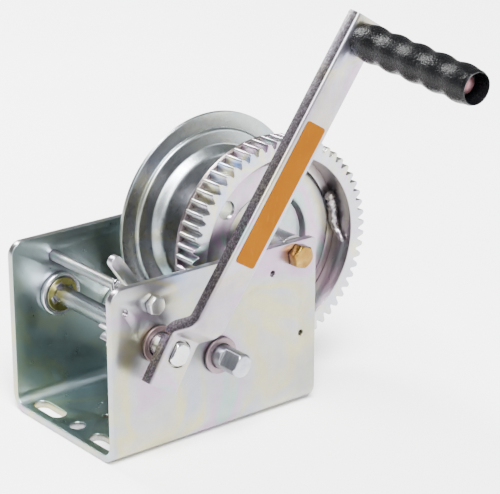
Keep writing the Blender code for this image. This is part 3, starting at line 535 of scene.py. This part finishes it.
def metal(name, base, tints, tint=0.5, rough=0.36, grain=0.5, dirt_and_shade=0.5, scale=1.0, lathe_centre=None,
          streaks=None, metallic=1.0, paint_channel_shade=False, shade_zone=None, paint_flange_shade=False):
    """A plated or machined metal: tinted clouds, fine grain, scratches, worn edges, grime and painted shade
    in corners.
    """
    f = Finish(name)
    clouds = f.noise(10.0 * scale, 4.0, 0.55, 0.9)
    hue = f.noise(13.0 * scale, 3.0, 0.5, 1.6, f.scaled((1.0, 1.0, 1.0), (0.31, 0.17, 0.05)))
    patch = f.span(clouds, 0.28, 0.60)
    tinted = f.ramp(f.span(hue, 0.22, 0.78, smooth=False), tints)
    colour = f.mix(f.math("MULTIPLY", patch, tint), base, tinted)
    mottle = f.noise(210.0 * scale, 5.0, 0.62)
    colour = f.mix(f.span(mottle, 0.35, 0.75, 0.0, 0.16), colour, tuple(c * 0.62 for c in base))
    speck = f.noise(1500.0, 2.0, 0.6)
    colour = f.mix(f.span(speck, 0.62, 0.72, 0.0, 0.22), colour, tuple(c * 0.5 for c in base))

    scratch_place = f.scaled((60.0, 900.0, 900.0), turn=(0.0, 0.5, 0.25))
    scratch = f.noise(1.0, 3.0, 0.6, 0.0, scratch_place)
    scratches = f.span(scratch, 0.62, 0.70)

    rounded = f.rounded_normal(EDGE_ROUND * MM)
    worn = f.math("MULTIPLY", f.edge_mask(rounded), f.span(mottle, 0.30, 0.60))
    colour = f.mix(f.math("MULTIPLY", worn, WEAR), colour, WORN)
    # Near-black grime, which is also painted shade, darkens corners and seams found by ambient occlusion.
    crevice = f.span(f.crevice(7 * MM), 0.25, 0.9)
    grime_and_shade = f.math("MULTIPLY", crevice, f.span(f.noise(120.0, 4.0, 0.6), 0.30, 0.65))
    colour = f.mix(f.math("MULTIPLY", grime_and_shade, dirt_and_shade), colour, CORNER_GRIME_AND_SHADE)

    # Painted shade and reflection: the inside of the channel, above the base and between the plates, is
    # tinted green-grey.
    if paint_channel_shade:
        axes = f.node("SeparateXYZ", {}, Vector=f.place).outputs
        from_middle = f.math("ABSOLUTE", axes["Y"])
        across = f.span(from_middle, REAR_INSIDE * MM + 0.0006, REAR_INSIDE * MM + 0.0001)
        above = f.span(axes["Z"], (PLATE - 0.6) * MM, (PLATE - 0.1) * MM)
        channel_shade = f.math("MULTIPLY", f.math("MULTIPLY", across, above), f.span(clouds, 0.25, 0.75, 0.35, 0.60))
        colour = f.mix(channel_shade, colour, CHANNEL_SHADE_TINT)
    # Painted shade with pitting: the crank arm's side flanges, past the fold line, are darkened in patches.
    if paint_flange_shade:
        sideways = (-math.sin(CRANK_ANGLE), 0.0, math.cos(CRANK_ANGLE))
        from_axis = f.node("VectorMath", {"operation": "SUBTRACT"}, _0=f.place,
                           _1=(SHAFT_A[0] * MM, 0.0, SHAFT_A[1] * MM)).outputs[0]
        side = f.node("VectorMath", {"operation": "DOT_PRODUCT"}, _0=from_axis, _1=sideways)
        face = f.span(side.outputs["Value"], (CRANK_HALF - 0.5) * MM, (CRANK_HALF - 0.1) * MM)
        pits_and_shade = f.span(f.noise(650.0, 3.0, 0.75), 0.36, 0.58, 0.22, 0.96)
        colour = f.mix(f.math("MULTIPLY", face, pits_and_shade), colour, FLANGE_SHADE)
    # Painted shade in a band about an axis: used where the dish meets the ring's wall and on the ring's
    # inner wall.
    if shade_zone is not None:
        centre, start, end, shade_colour, amount = shade_zone
        inner = f.span(f.reach(centre), start * MM, end * MM, 0.0, amount)
        colour = f.mix(f.math("MULTIPLY", inner, f.span(clouds, 0.2, 0.6, 0.7, 1.0)), colour, shade_colour)

    roughness = f.math("ADD", rough, f.span(mottle, 0.3, 0.7, -0.03, 0.04, False))
    roughness = f.math("SUBTRACT", roughness, f.math("MULTIPLY", worn, 0.12))
    roughness = f.math("ADD", roughness, f.math("MULTIPLY", grime_and_shade, 0.25), True)

    fine = f.noise(2300.0, 2.0, 0.6)
    height = f.math("ADD", f.math("MULTIPLY", fine, 0.6 * grain), f.math("MULTIPLY", mottle, 0.06 * grain))
    height = f.math("SUBTRACT", height, f.math("MULTIPLY", scratches, 0.35 * grain))
    if lathe_centre is not None:
        reach = f.reach(lathe_centre)
        depth = f.node("SeparateXYZ", {}, Vector=f.place).outputs["Y"]
        along = f.math("ADD", f.math("MULTIPLY", reach, 1700.0), f.math("MULTIPLY", depth, 1700.0))
        turned = f.node("TexNoise", {"noise_dimensions": "1D"}, W=along, Detail=4.0, Roughness=0.7)
        rings = turned.outputs["Fac"]
        height = f.math("ADD", height, f.math("MULTIPLY", rings, 0.8))
        roughness = f.math("ADD", roughness, f.span(rings, 0.35, 0.65, -0.05, 0.05, False))
    if streaks is not None:
        brushed = f.noise(1.0, 4.0, 0.65, 0.0, f.scaled(streaks))
        height = f.math("ADD", height, f.math("MULTIPLY", brushed, 0.9))
        colour = f.mix(f.span(brushed, 0.45, 0.62, 0.0, 0.30), colour, tuple(c * 0.55 for c in base))
    normal = f.bump(height, 0.35, 0.00010, rounded)
    return f.finish(colour, roughness, metallic, normal)


def plastic(name):
    """Charcoal moulded plastic with a strong grain, dust, and a painted highlight on its rounded edges."""
    f = Finish(name)
    grain = f.node("TexVoronoi", {"feature": "F1"}, Vector=f.place, Scale=900.0).outputs["Distance"]
    pebbles = f.noise(620.0, 4.0, 0.70)
    dust = f.noise(70.0, 5.0, 0.65, 0.8)
    colour = f.mix(f.span(dust, 0.42, 0.72, 0.0, 0.55), (0.0016, 0.0017, 0.0021), (0.0034, 0.0037, 0.0044))
    colour = f.mix(f.span(pebbles, 0.60, 0.74, 0.0, 0.8), colour, (0.0090, 0.0096, 0.0110))
    rounded = f.rounded_normal(0.4 * MM)
    # Painted highlight: the grip's rounded edges are lightened.
    colour = f.mix(f.math("MULTIPLY", f.edge_mask(rounded), 0.9), colour, (0.12, 0.12, 0.125))
    height = f.math("ADD", f.math("MULTIPLY", grain, -0.8), f.math("MULTIPLY", pebbles, 1.0))
    normal = f.bump(height, 0.8, 0.00035, rounded)
    roughness = f.span(pebbles, 0.3, 0.7, 0.22, 0.36, False)
    return f.finish(colour, roughness, 0.0, normal, Specular_IOR_Level=0.12)


def label_film(name):
    """An amber printed film, a little faded and scuffed, with no lettering."""
    f = Finish(name)
    fade = f.noise(30.0, 4.0, 0.6, 0.5)
    colour = f.mix(f.span(fade, 0.3, 0.7), (0.122, 0.039, 0.0001), (0.138, 0.046, 0.0001))
    scuff = f.noise(1.0, 3.0, 0.6, 0.0, f.scaled((500.0, 500.0, 90.0), turn=(0.0, 0.55, 0.0)))
    colour = f.mix(f.span(scuff, 0.60, 0.72, 0.0, 0.45), colour, (0.16, 0.070, 0.004))
    fine = f.noise(1800.0, 2.0, 0.5)
    normal = f.bump(fine, 0.25, 0.00006)
    roughness = f.span(fade, 0.3, 0.7, 0.34, 0.5, False)
    return f.finish(colour, roughness, 0.0, normal, Specular_IOR_Level=0.03)


def floor_finish(name):
    """A plain pale matt floor."""
    f = Finish(name)
    soft = f.noise(6.0, 2.0, 0.5)
    colour = f.mix(f.span(soft, 0.3, 0.7, 0.0, 1.0), (0.94, 0.94, 0.94), (0.96, 0.96, 0.96))
    normal = f.bump(f.noise(400.0, 2.0), 0.05, 0.0001)
    return f.finish(colour, 0.85, 0.0, normal)


# ---------------------------------------------------------------- frame

def build_frame():
    """The bent plate channel."""
    finish = metal("frame_zinc", (0.24, 0.245, 0.265), FRAME_TINTS, tint=1.0, rough=0.30, grain=0.6,
                   dirt_and_shade=0.35, scale=0.6, paint_channel_shade=True)
    show(softened("frame_channel", "base_frame", 0.45, 3), "base_frame", finish)


# ---------------------------------------------------------------- turned pieces

def build_bushings():
    """The four bushings that carry the two shafts."""
    bronze = metal("bushing_bronze", BROWN, BRONZE_TINTS, tint=0.8, rough=0.45, dirt_and_shade=0.5, scale=3.0)
    lilac = metal("bushing_lilac", (0.17, 0.125, 0.135), LILAC_TINTS, tint=0.8, rough=0.42, dirt_and_shade=0.5,
                  scale=3.0)
    for letter, axis, finish in (("a", SHAFT_A, bronze), ("b", SHAFT_B, lilac)):
        face = FRONT_FACE - GAP
        front = face - FRONT_BUSHING_FLANGE
        bore = SHAFT_RADIUS + GAP
        profile = [(bore, front), (12.25, front), (12.25, face), (9.5, face),
                   (9.5, FRONT_INSIDE + 0.6), (bore, FRONT_INSIDE + 0.6)]
        show(lathe(f"bushing_front_{letter}", filleted(profile, 0.55), axis, 72),
             f"front_bushing_{letter}", finish)
        zinc = metal(f"bushing_rim_{letter}", BRIGHT, ZINC_TINTS, tint=0.5, rough=0.30, lathe_centre=axis,
                     scale=3.0)
        face = REAR_INSIDE - GAP
        front = face - REAR_BUSHING_FLANGE
        bore = JOURNAL_RADIUS + GAP
        profile = [(bore, front), (11.9, front), (12.5, front - 0.5), (14.2, front - 0.5),
                   (14.75, front + 0.2), (14.75, face), (11.0, face), (11.0, REAR_FACE + 0.6),
                   (bore, REAR_FACE + 0.6)]
        show(lathe(f"bushing_rear_{letter}", filleted(profile, 0.35), axis, 72),
             f"rear_bushing_{letter}", zinc)


def sheet_profile(path, sheet):
    """A closed profile of even thickness about a (radius, Y) centreline."""
    left = []
    right = []
    for i, (r, y) in enumerate(path):
        before = path[max(i - 1, 0)]
        after = path[min(i + 1, len(path) - 1)]
        run = (Vector(after) - Vector(before)).normalized()
        side = Vector((-run.y, run.x)) * sheet / 2
        left.append((r + side.x, y + side.y))
        right.append((r - side.x, y - side.y))
    return left + right[::-1]


def eased(start, end, steps=9):
    """A smooth step from one (radius, Y) point to another."""
    points = []
    for i in range(steps + 1):
        t = i / steps
        ease = t * t * (3 - 2 * t)
        points.append((start[0] + (end[0] - start[0]) * t, start[1] + (end[1] - start[1]) * ease))
    return points


def build_reel():
    """The rope reel: flanges, drum, ring gear, hub bushings and its axle tube."""
    plated = metal("reel_zinc", (0.235, 0.265, 0.275), ZINC_TINTS, tint=0.45, rough=0.30, grain=0.25,
                   dirt_and_shade=0.08, lathe_centre=REEL)
    # the dish gets painted shade by the ring's foot, and the ring gets painted shade on its inner wall
    dish = metal("dish_zinc", (0.24, 0.205, 0.24), ZINC_TINTS, tint=0.8, rough=0.31, grain=0.4, dirt_and_shade=0.35,
                 shade_zone=(REEL, 55.0, 58.5, DISH_FOOT_SHADE, 0.7))
    gear_zinc = metal("ring_zinc", (0.33, 0.34, 0.38), ZINC_TINTS, tint=0.9, rough=0.30, grain=0.6,
                      dirt_and_shade=0.3, scale=2.0, shade_zone=(REEL, 62.2, 61.8, RING_WALL_SHADE, 0.92))

    path = [(HUB_BORE, REAR_FLANGE_HUB_Y)]
    path += eased((46.0, REAR_FLANGE_HUB_Y), (53.5, REAR_FLANGE_RING_Y), 10)
    path += filleted([(54.5, REAR_FLANGE_RING_Y), (62.4, REAR_FLANGE_RING_Y), (63.2, REAR_FLANGE_RIM_Y),
                      (FLANGE_RADIUS, REAR_FLANGE_RIM_Y)], 0.7, closed=False)
    profile = filleted(sheet_profile(path, FLANGE_SHEET), 0.5, limit=60)
    show(lathe("reel_disc_rear", profile, REEL, 160, 50), "reel_rear_flange", plated)

    path = [(HUB_BORE, GEAR_FLANGE_HUB_Y)]
    path += eased((31.5, GEAR_FLANGE_HUB_Y), (36.0, GEAR_FLANGE_FLAT_Y), 8)
    path += eased((51.5, GEAR_FLANGE_FLAT_Y), (55.5, GEAR_FLANGE_RIM_Y), 8)
    path.append((GEAR_FLANGE_RADIUS, GEAR_FLANGE_RIM_Y))
    profile = filleted(sheet_profile(path, FLANGE_SHEET), 0.5, limit=60)
    disc = lathe("reel_disc_gear_side", profile, REEL, 160, 50)
    plug = [(0.0, -40.0), (CABLE_HOLE_RADIUS, -40.0), (CABLE_HOLE_RADIUS, -10.0), (0.0, -10.0)]
    hole = lathe("cut_cable_hole", plug, polar(CABLE_HOLE_REACH, CABLE_HOLE_ANGLE, REEL), 48)
    boolean = disc.modifiers.new("hole", "BOOLEAN")
    boolean.operation = "DIFFERENCE"
    boolean.solver = "EXACT"
    boolean.object = hole
    shape = disc.evaluated_get(bpy.context.evaluated_depsgraph_get())
    mesh = bpy.data.meshes.new_from_object(shape)
    disc.modifiers.clear()
    disc.data = mesh
    bpy.data.objects.remove(hole, do_unlink=True)
    mesh.shade_smooth()
    mesh.set_sharp_from_angle(angle=math.radians(40))
    show(disc, "reel_gear_side_flange", dish)

    start = GEAR_FLANGE_HUB_Y + FLANGE_SHEET / 2 + GAP
    end = REAR_FLANGE_HUB_Y - FLANGE_SHEET / 2 - GAP
    bore = DRUM_RADIUS - DRUM_WALL
    tube = [(bore, start), (DRUM_RADIUS, start), (DRUM_RADIUS, end), (bore, end)]
    show(lathe("reel_core", filleted(tube, 0.3), REEL, 96), "reel_drum", dish)

    outline = tooth_outline(RING_TEETH, RING_PHASE, RING_ADDENDUM, RING_DEDENDUM, 1.35, 2)
    loops = [moved(outline, REEL), circle(RING_BORE, 180, REEL)]
    show(plate("reel_ring_gear", loops, RING_FRONT, RING_REAR, 0.4, 40), "ring_gear", gear_zinc)

    bronze = metal("hub_bronze", BROWN, HUB_TINTS, tint=0.8, rough=0.45, scale=3.0)
    over_sleeve = SLEEVE_RADIUS + GAP
    for name, node, seat, hand in (("hub_bush_front", "reel_front_bushing", HUB_FRONT, -1),
                                   ("hub_bush_rear", "reel_rear_bushing", HUB_REAR, 1)):
        start = seat + hand * GAP
        outer = start + hand * HUB_BUSHING_FLANGE
        inner = start - hand * 11.0
        profile = [(over_sleeve, inner), (HUB_BORE - GAP, inner), (HUB_BORE - GAP, start), (14.0, start),
                   (14.0, outer), (over_sleeve, outer)]
        show(lathe(name, filleted(profile, 0.4), REEL, 64), node, bronze)
    spacer = metal("spacer_zinc", GREY, ZINC_TINTS, tint=0.6, rough=0.34, lathe_centre=REEL, scale=3.0)
    near, far = FRONT_INSIDE + GAP, REAR_INSIDE - GAP
    past_bushing = HUB_BUSHING_FLANGE + 2 * GAP
    for name, node, radius, bore, start, end in (
            ("axle_tube", "axle_sleeve", SLEEVE_RADIUS, AXLE_BOLT_RADIUS + GAP, near, far),
            ("axle_spacer_front", "front_axle_spacer", SPACER_RADIUS, over_sleeve, near,
             HUB_FRONT - past_bushing),
            ("axle_spacer_rear", "rear_axle_spacer", SPACER_RADIUS, over_sleeve,
             HUB_REAR + past_bushing, far)):
        profile = [(bore, start), (radius, start), (radius, end), (bore, end)]
        show(lathe(name, filleted(profile, 0.4), REEL, 64), node, spacer)


# degrees about the reel, radius, Y and thickness along the bead, then along its tail
WELD_PATH = [(24.5, 57.6, -28.0, 3.0), (22.0, 57.0, -28.4, 4.1), (19.0, 57.9, -27.4, 3.0),
             (14.5, 57.6, -27.6, 3.8), (10.5, 57.9, -27.3, 3.2), (6.0, 57.6, -27.5, 3.7),
             (1.5, 57.9, -27.6, 3.2), (-2.5, 58.5, -29.2, 2.7), (-6.0, 58.9, -32.4, 2.2),
             (-10.0, 59.4, -36.8, 1.6)]


def smooth_point(points, t):
    """A point on the smooth curve through points, t from 0 to 1."""
    place = t * (len(points) - 1)
    i = min(int(place), len(points) - 2)
    u = place - i
    a, b, c, d = (Vector(points[min(max(k, 0), len(points) - 1)]) for k in range(i - 1, i + 3))
    return ((2 * b) + (c - a) * u + (2 * a - 5 * b + 4 * c - d) * u ** 2
            + (3 * b - a - 3 * c + d) * u ** 3) / 2


def build_weld():
    """The weld between the flange's rim and the ring: a lumpy bead with a tail up the ring's wall."""
    finish = metal("weld_metal", (0.24, 0.215, 0.23), ZINC_TINTS, tint=0.3, rough=0.34, grain=1.6, dirt_and_shade=0.5,
                   scale=4.0)
    spine = []
    for angle, radius, y, thick in WELD_PATH:
        x, z = polar(radius, math.radians(angle), REEL)
        spine.append((x, y, z, thick))
    builder = bmesh.new()
    steps, around = 120, 18
    rings = []
    for i in range(steps + 1):
        t = i / steps
        point = smooth_point(spine, t)
        run = (smooth_point(spine, min(t + 0.01, 1.0)) - smooth_point(spine, max(t - 0.01, 0.0))).xyz
        run.normalize()
        out = Vector((point.x - REEL[0], 0.0, point.z - REEL[1])).normalized()
        side = run.cross(out).normalized()
        thick = point.w * (min(1.0, 14 * t + 0.35, 14 * (1 - t) + 0.35))
        ring = []
        for k in range(around):
            turn = 2 * math.pi * k / around
            around_it = (math.cos(turn) * 1.1, math.sin(turn) * 1.1)
            lump = 0.90 + 0.36 * noise.noise(Vector((t * 13.0, *around_it)))
            offset = (out * math.cos(turn) + side * math.sin(turn)) * thick * lump
            ring.append(builder.verts.new((point.xyz + offset) * MM))
        rings.append(ring)
    for first, second in zip(rings, rings[1:]):
        for k in range(around):
            j = (k + 1) % around
            builder.faces.new((first[k], first[j], second[j], second[k]))
    for ring in (rings[0], rings[-1]):
        builder.faces.new(ring)
    show(link_mesh("ring_weld", builder, 180), "ring_weld_bead", finish)


# ---------------------------------------------------------------- shafts and gears

def build_shafts():
    """The two drive shafts with their gears, snap rings and retainers."""
    shaft = metal("shaft_steel", (0.50, 0.52, 0.56), ZINC_TINTS, tint=0.35, rough=0.24, grain=0.4, dirt_and_shade=0.2,
                  streaks=(900.0, 25.0, 900.0))
    stub = metal("shaft_grey", (0.28, 0.30, 0.35), STUB_TINTS, tint=0.8, rough=0.34, grain=0.8,
                 streaks=(120.0, 900.0, 120.0), scale=3.0)
    show(softened("shaft_under_crank", "drive_shaft_a", 0.35, 2), "drive_shaft_a", shaft)
    show(softened("shaft_for_fast_gear", "drive_shaft_b", 0.35, 2), "drive_shaft_b", stub)
    gold = metal("pinion_zinc", (0.42, 0.42, 0.42), ZINC_TINTS, tint=0.7, rough=0.30, scale=3.0, dirt_and_shade=0.6)
    silver = metal("gear_zinc", GREY, ZINC_TINTS, tint=0.7, rough=0.36, scale=2.0, dirt_and_shade=0.6)
    for name, node, finish in (("pinion_long", "long_pinion_a", gold),
                               ("gear_transfer", "transfer_gear_b", silver),
                               ("pinion_short", "pinion_b", gold)):
        show(softened(name, node, 0.3, 2), node, finish)
    clip = metal("clip_steel", CLIP, ZINC_TINTS, tint=0.3, rough=0.30, scale=4.0)
    olive = metal("retainer_olive", (0.17, 0.165, 0.045), OLIVE_TINTS, tint=0.7, rough=0.34, scale=5.0,
                  dirt_and_shade=0.7)
    for letter in ("a", "b"):
        ring = f"rear_snap_ring_{letter}"
        retainer = f"push_retainer_{letter}"
        show(softened(f"snap_ring_{letter}", ring, 0.2, 2), ring, clip)
        show(softened(f"retainer_{letter}", retainer, 0.12, 1), retainer, olive)


def build_fasteners():
    """The reel bolt, the pawl with its rod, clips and spring."""
    gold = metal("bolt_gold", GOLD, YELLOW_TINTS, tint=0.9, rough=0.30, scale=4.0, dirt_and_shade=0.6, grain=0.8)
    grey = metal("rod_zinc", BRIGHT, ZINC_TINTS, tint=0.5, rough=0.32, scale=3.0)
    show(softened("axle_bolt", "reel_axle_bolt", 0.25, 2), "reel_axle_bolt", gold)
    show(softened("axle_washer", "reel_axle_washer", 0.3, 2), "reel_axle_washer", gold)
    show(softened("axle_nut", "reel_axle_nut", 0.25, 2), "reel_axle_nut", gold)
    show(softened("rod", "pawl_rod", 0.2, 2), "pawl_rod", grey)
    show(softened("rod_nut", "pawl_rod_nut", 0.25, 2), "pawl_rod_nut", grey)
    clip = metal("rod_clip_steel", CLIP, ZINC_TINTS, tint=0.3, rough=0.30, scale=4.0)
    for end in ("front", "rear"):
        show(softened(f"rod_clip_{end}", f"pawl_clip_{end}", 0.15, 1), f"pawl_clip_{end}", clip)
    show(softened("spring_coil", "pawl_spring", 0.01, 1, 60), "pawl_spring", clip)
    lever = metal("pawl_zinc", (0.40, 0.40, 0.43), ZINC_TINTS, tint=0.6, rough=0.36, scale=3.0, grain=0.9)
    show(softened("pawl_lever", "pawl", 0.4, 3), "pawl", lever)


# ---------------------------------------------------------------- crank and grip

def build_crank():
    """The crank arm, its blank label and the bolt that holds the grip."""
    arm = metal("crank_zinc", (0.235, 0.205, 0.25), ZINC_TINTS, tint=0.6, rough=0.32, grain=1.1, dirt_and_shade=0.3,
                paint_flange_shade=True)
    show(softened("crank_channel", "crank_arm", 0.35, 3, 30), "crank_arm", arm)
    show(softened("crank_blank_label", "crank_label", 0.05, 1), "crank_label", label_film("label_amber"))
    head = metal("grip_bolt_red", (0.18, 0.07, 0.08), RED_TINTS, tint=0.9, rough=0.42, grain=1.2,
                 scale=8.0, metallic=0.8)
    show(softened("grip_pin", "grip_bolt", 0.2, 2), "grip_bolt", head)
    nut = metal("grip_nut_steel", BRIGHT, ZINC_TINTS, tint=0.4, rough=0.30, scale=4.0)
    show(softened("grip_pin_nut", "grip_nut", 0.3, 2), "grip_nut", nut)


def crank_height(along):
    """How far the arm's outer face stands out from the hub's, past its bends."""
    rise_sharp = SHARP_BEND * (1 - math.cos(RAMP_ANGLE))
    rise_gentle = GENTLE_BEND * (math.cos(CRANK_LEAN) - math.cos(RAMP_ANGLE))
    ramp = (RAMP_OUT - rise_sharp - rise_gentle) / math.sin(RAMP_ANGLE)
    bend_end = HUB_TOP + SHARP_BEND * math.sin(RAMP_ANGLE) + ramp * math.cos(RAMP_ANGLE)
    bend_end += GENTLE_BEND * (math.sin(RAMP_ANGLE) - math.sin(CRANK_LEAN))
    return RAMP_OUT + (along - bend_end) * math.tan(CRANK_LEAN)


def grip_frame():
    """Local -Y points out along the grip; local Y = 0 is the arm's outer face."""
    up = Vector((math.cos(CRANK_ANGLE), 0.0, math.sin(CRANK_ANGLE)))
    out = Vector((0.0, -1.0, 0.0))
    origin = Vector((SHAFT_A[0], CRANK_FACE, SHAFT_A[1])) + up * GRIP_REACH + out * crank_height(GRIP_REACH)
    along = out * math.cos(CRANK_LEAN) - up * math.sin(CRANK_LEAN)
    side = up.cross(out).normalized()
    across = along.cross(side).normalized()
    turn = Matrix((across, -along, side)).transposed()
    return Matrix.Translation(origin * MM) @ turn.to_4x4()


def build_grip():
    """The hollow grip with its finger waves."""
    steps = 16 * FINGER_COUNT
    start, end = GRIP_CLEARANCE, GRIP_LENGTH
    outside = []
    for i in range(steps + 1):
        t = i / steps
        wave = 0.5 - 0.5 * math.cos(2 * math.pi * FINGER_COUNT * t)
        out = start + 2 + (end - start - 4) * t
        outside.append((GRIP_RADIUS - FINGER_DEPTH + FINGER_DEPTH * wave, -out))
    outside = [(outside[0][0] - 1.0, -start)] + outside + [(outside[-1][0] - 0.8, -end)]
    floor = end - GRIP_SOCKET_DEPTH
    inside_points = [(GRIP_SOCKET_RADIUS + 0.3, -end), (GRIP_SOCKET_RADIUS, -(end - 1.5)),
                     (GRIP_SOCKET_RADIUS, -floor), (GRIP_BORE, -floor), (GRIP_BORE, -start)]
    profile = filleted(outside + inside_points, 0.5, limit=25)
    piece = lathe("grip_sleeve", profile, (0.0, 0.0), 96, 50)
    piece.data.transform(grip_frame())
    show(piece, "crank_grip", plastic("grip_charcoal"))


# ---------------------------------------------------------------- studio

CAMERA_PLACE = (-0.713325, -0.979610, 0.556436)
CAMERA_AZIMUTH = 38.773        # degrees, from the left of straight on
CAMERA_ELEVATION = 20.140
CAMERA_LENS = 142.04
SENSOR = 36.0

WORLD_STRENGTH = 0.42
SUN_ENERGY = 16.0
SUN_SPREAD = math.radians(28)
SUN_AZIMUTH = 30.0
SUN_ELEVATION = 58.0
LAMP_TARGET = (0.0, 0.0, 0.1)
# name, place in metres, diameter, watts and colour
LAMPS = (
    ("key", (-0.9, -1.3, 1.0), 0.7, 30.0, (1.0, 0.99, 0.97)),
    ("fill", (1.2, -1.1, 0.5), 0.8, 14.0, (0.94, 0.96, 1.0)),
    ("back", (-0.05, 1.25, 1.20), 0.45, 45.0, (1.0, 1.0, 1.0)),
)


def aim(item, azimuth, elevation):
    """Points an object's -Z along a compass direction and down by an elevation, both in degrees."""
    a = math.radians(azimuth)
    e = math.radians(elevation)
    forward = Vector((math.sin(a) * math.cos(e), math.cos(a) * math.cos(e), -math.sin(e)))
    item.rotation_mode = "QUATERNION"
    item.rotation_quaternion = forward.to_track_quat("-Z", "Y")


def build_studio():
    """The camera, floor, sky, sun and three soft lamps."""
    camera = bpy.data.objects.new("camera", bpy.data.cameras.new("camera"))
    bpy.context.scene.collection.objects.link(camera)
    camera.data.lens = CAMERA_LENS
    camera.data.sensor_width = SENSOR
    camera.data.clip_start = 0.01
    camera.data.clip_end = 50.0
    camera.location = CAMERA_PLACE
    aim(camera, CAMERA_AZIMUTH, CAMERA_ELEVATION)
    bpy.context.scene.camera = camera

    bpy.ops.mesh.primitive_plane_add(size=12.0, location=(0.0, 0.0, -0.0002))
    floor = bpy.context.object
    floor.name = "studio_floor"
    floor.data.materials.append(floor_finish("floor_white"))

    world = bpy.data.worlds.new("studio")
    bpy.context.scene.world = world
    world.use_nodes = True
    world.node_tree.nodes["Background"].inputs["Color"].default_value = (1.0, 1.0, 1.0, 1.0)
    world.node_tree.nodes["Background"].inputs["Strength"].default_value = WORLD_STRENGTH

    sun = bpy.data.objects.new("soft_sun", bpy.data.lights.new("soft_sun", "SUN"))
    bpy.context.scene.collection.objects.link(sun)
    sun.data.energy = SUN_ENERGY
    sun.data.angle = SUN_SPREAD
    aim(sun, SUN_AZIMUTH, SUN_ELEVATION)

    for name, place, size, power, colour in LAMPS:
        light = bpy.data.lights.new(name, "AREA")
        light.shape = "DISK"
        light.size = size
        light.energy = power
        light.color = colour
        lamp = bpy.data.objects.new(name, light)
        bpy.context.scene.collection.objects.link(lamp)
        lamp.location = place
        lamp.rotation_mode = "QUATERNION"
        lamp.rotation_quaternion = (Vector(LAMP_TARGET) - Vector(place)).to_track_quat("-Z", "Y")


def build_all():
    build_frame()
    build_bushings()
    build_reel()
    build_weld()
    build_shafts()
    build_fasteners()
    build_crank()
    build_grip()
    build_studio()


build_all()
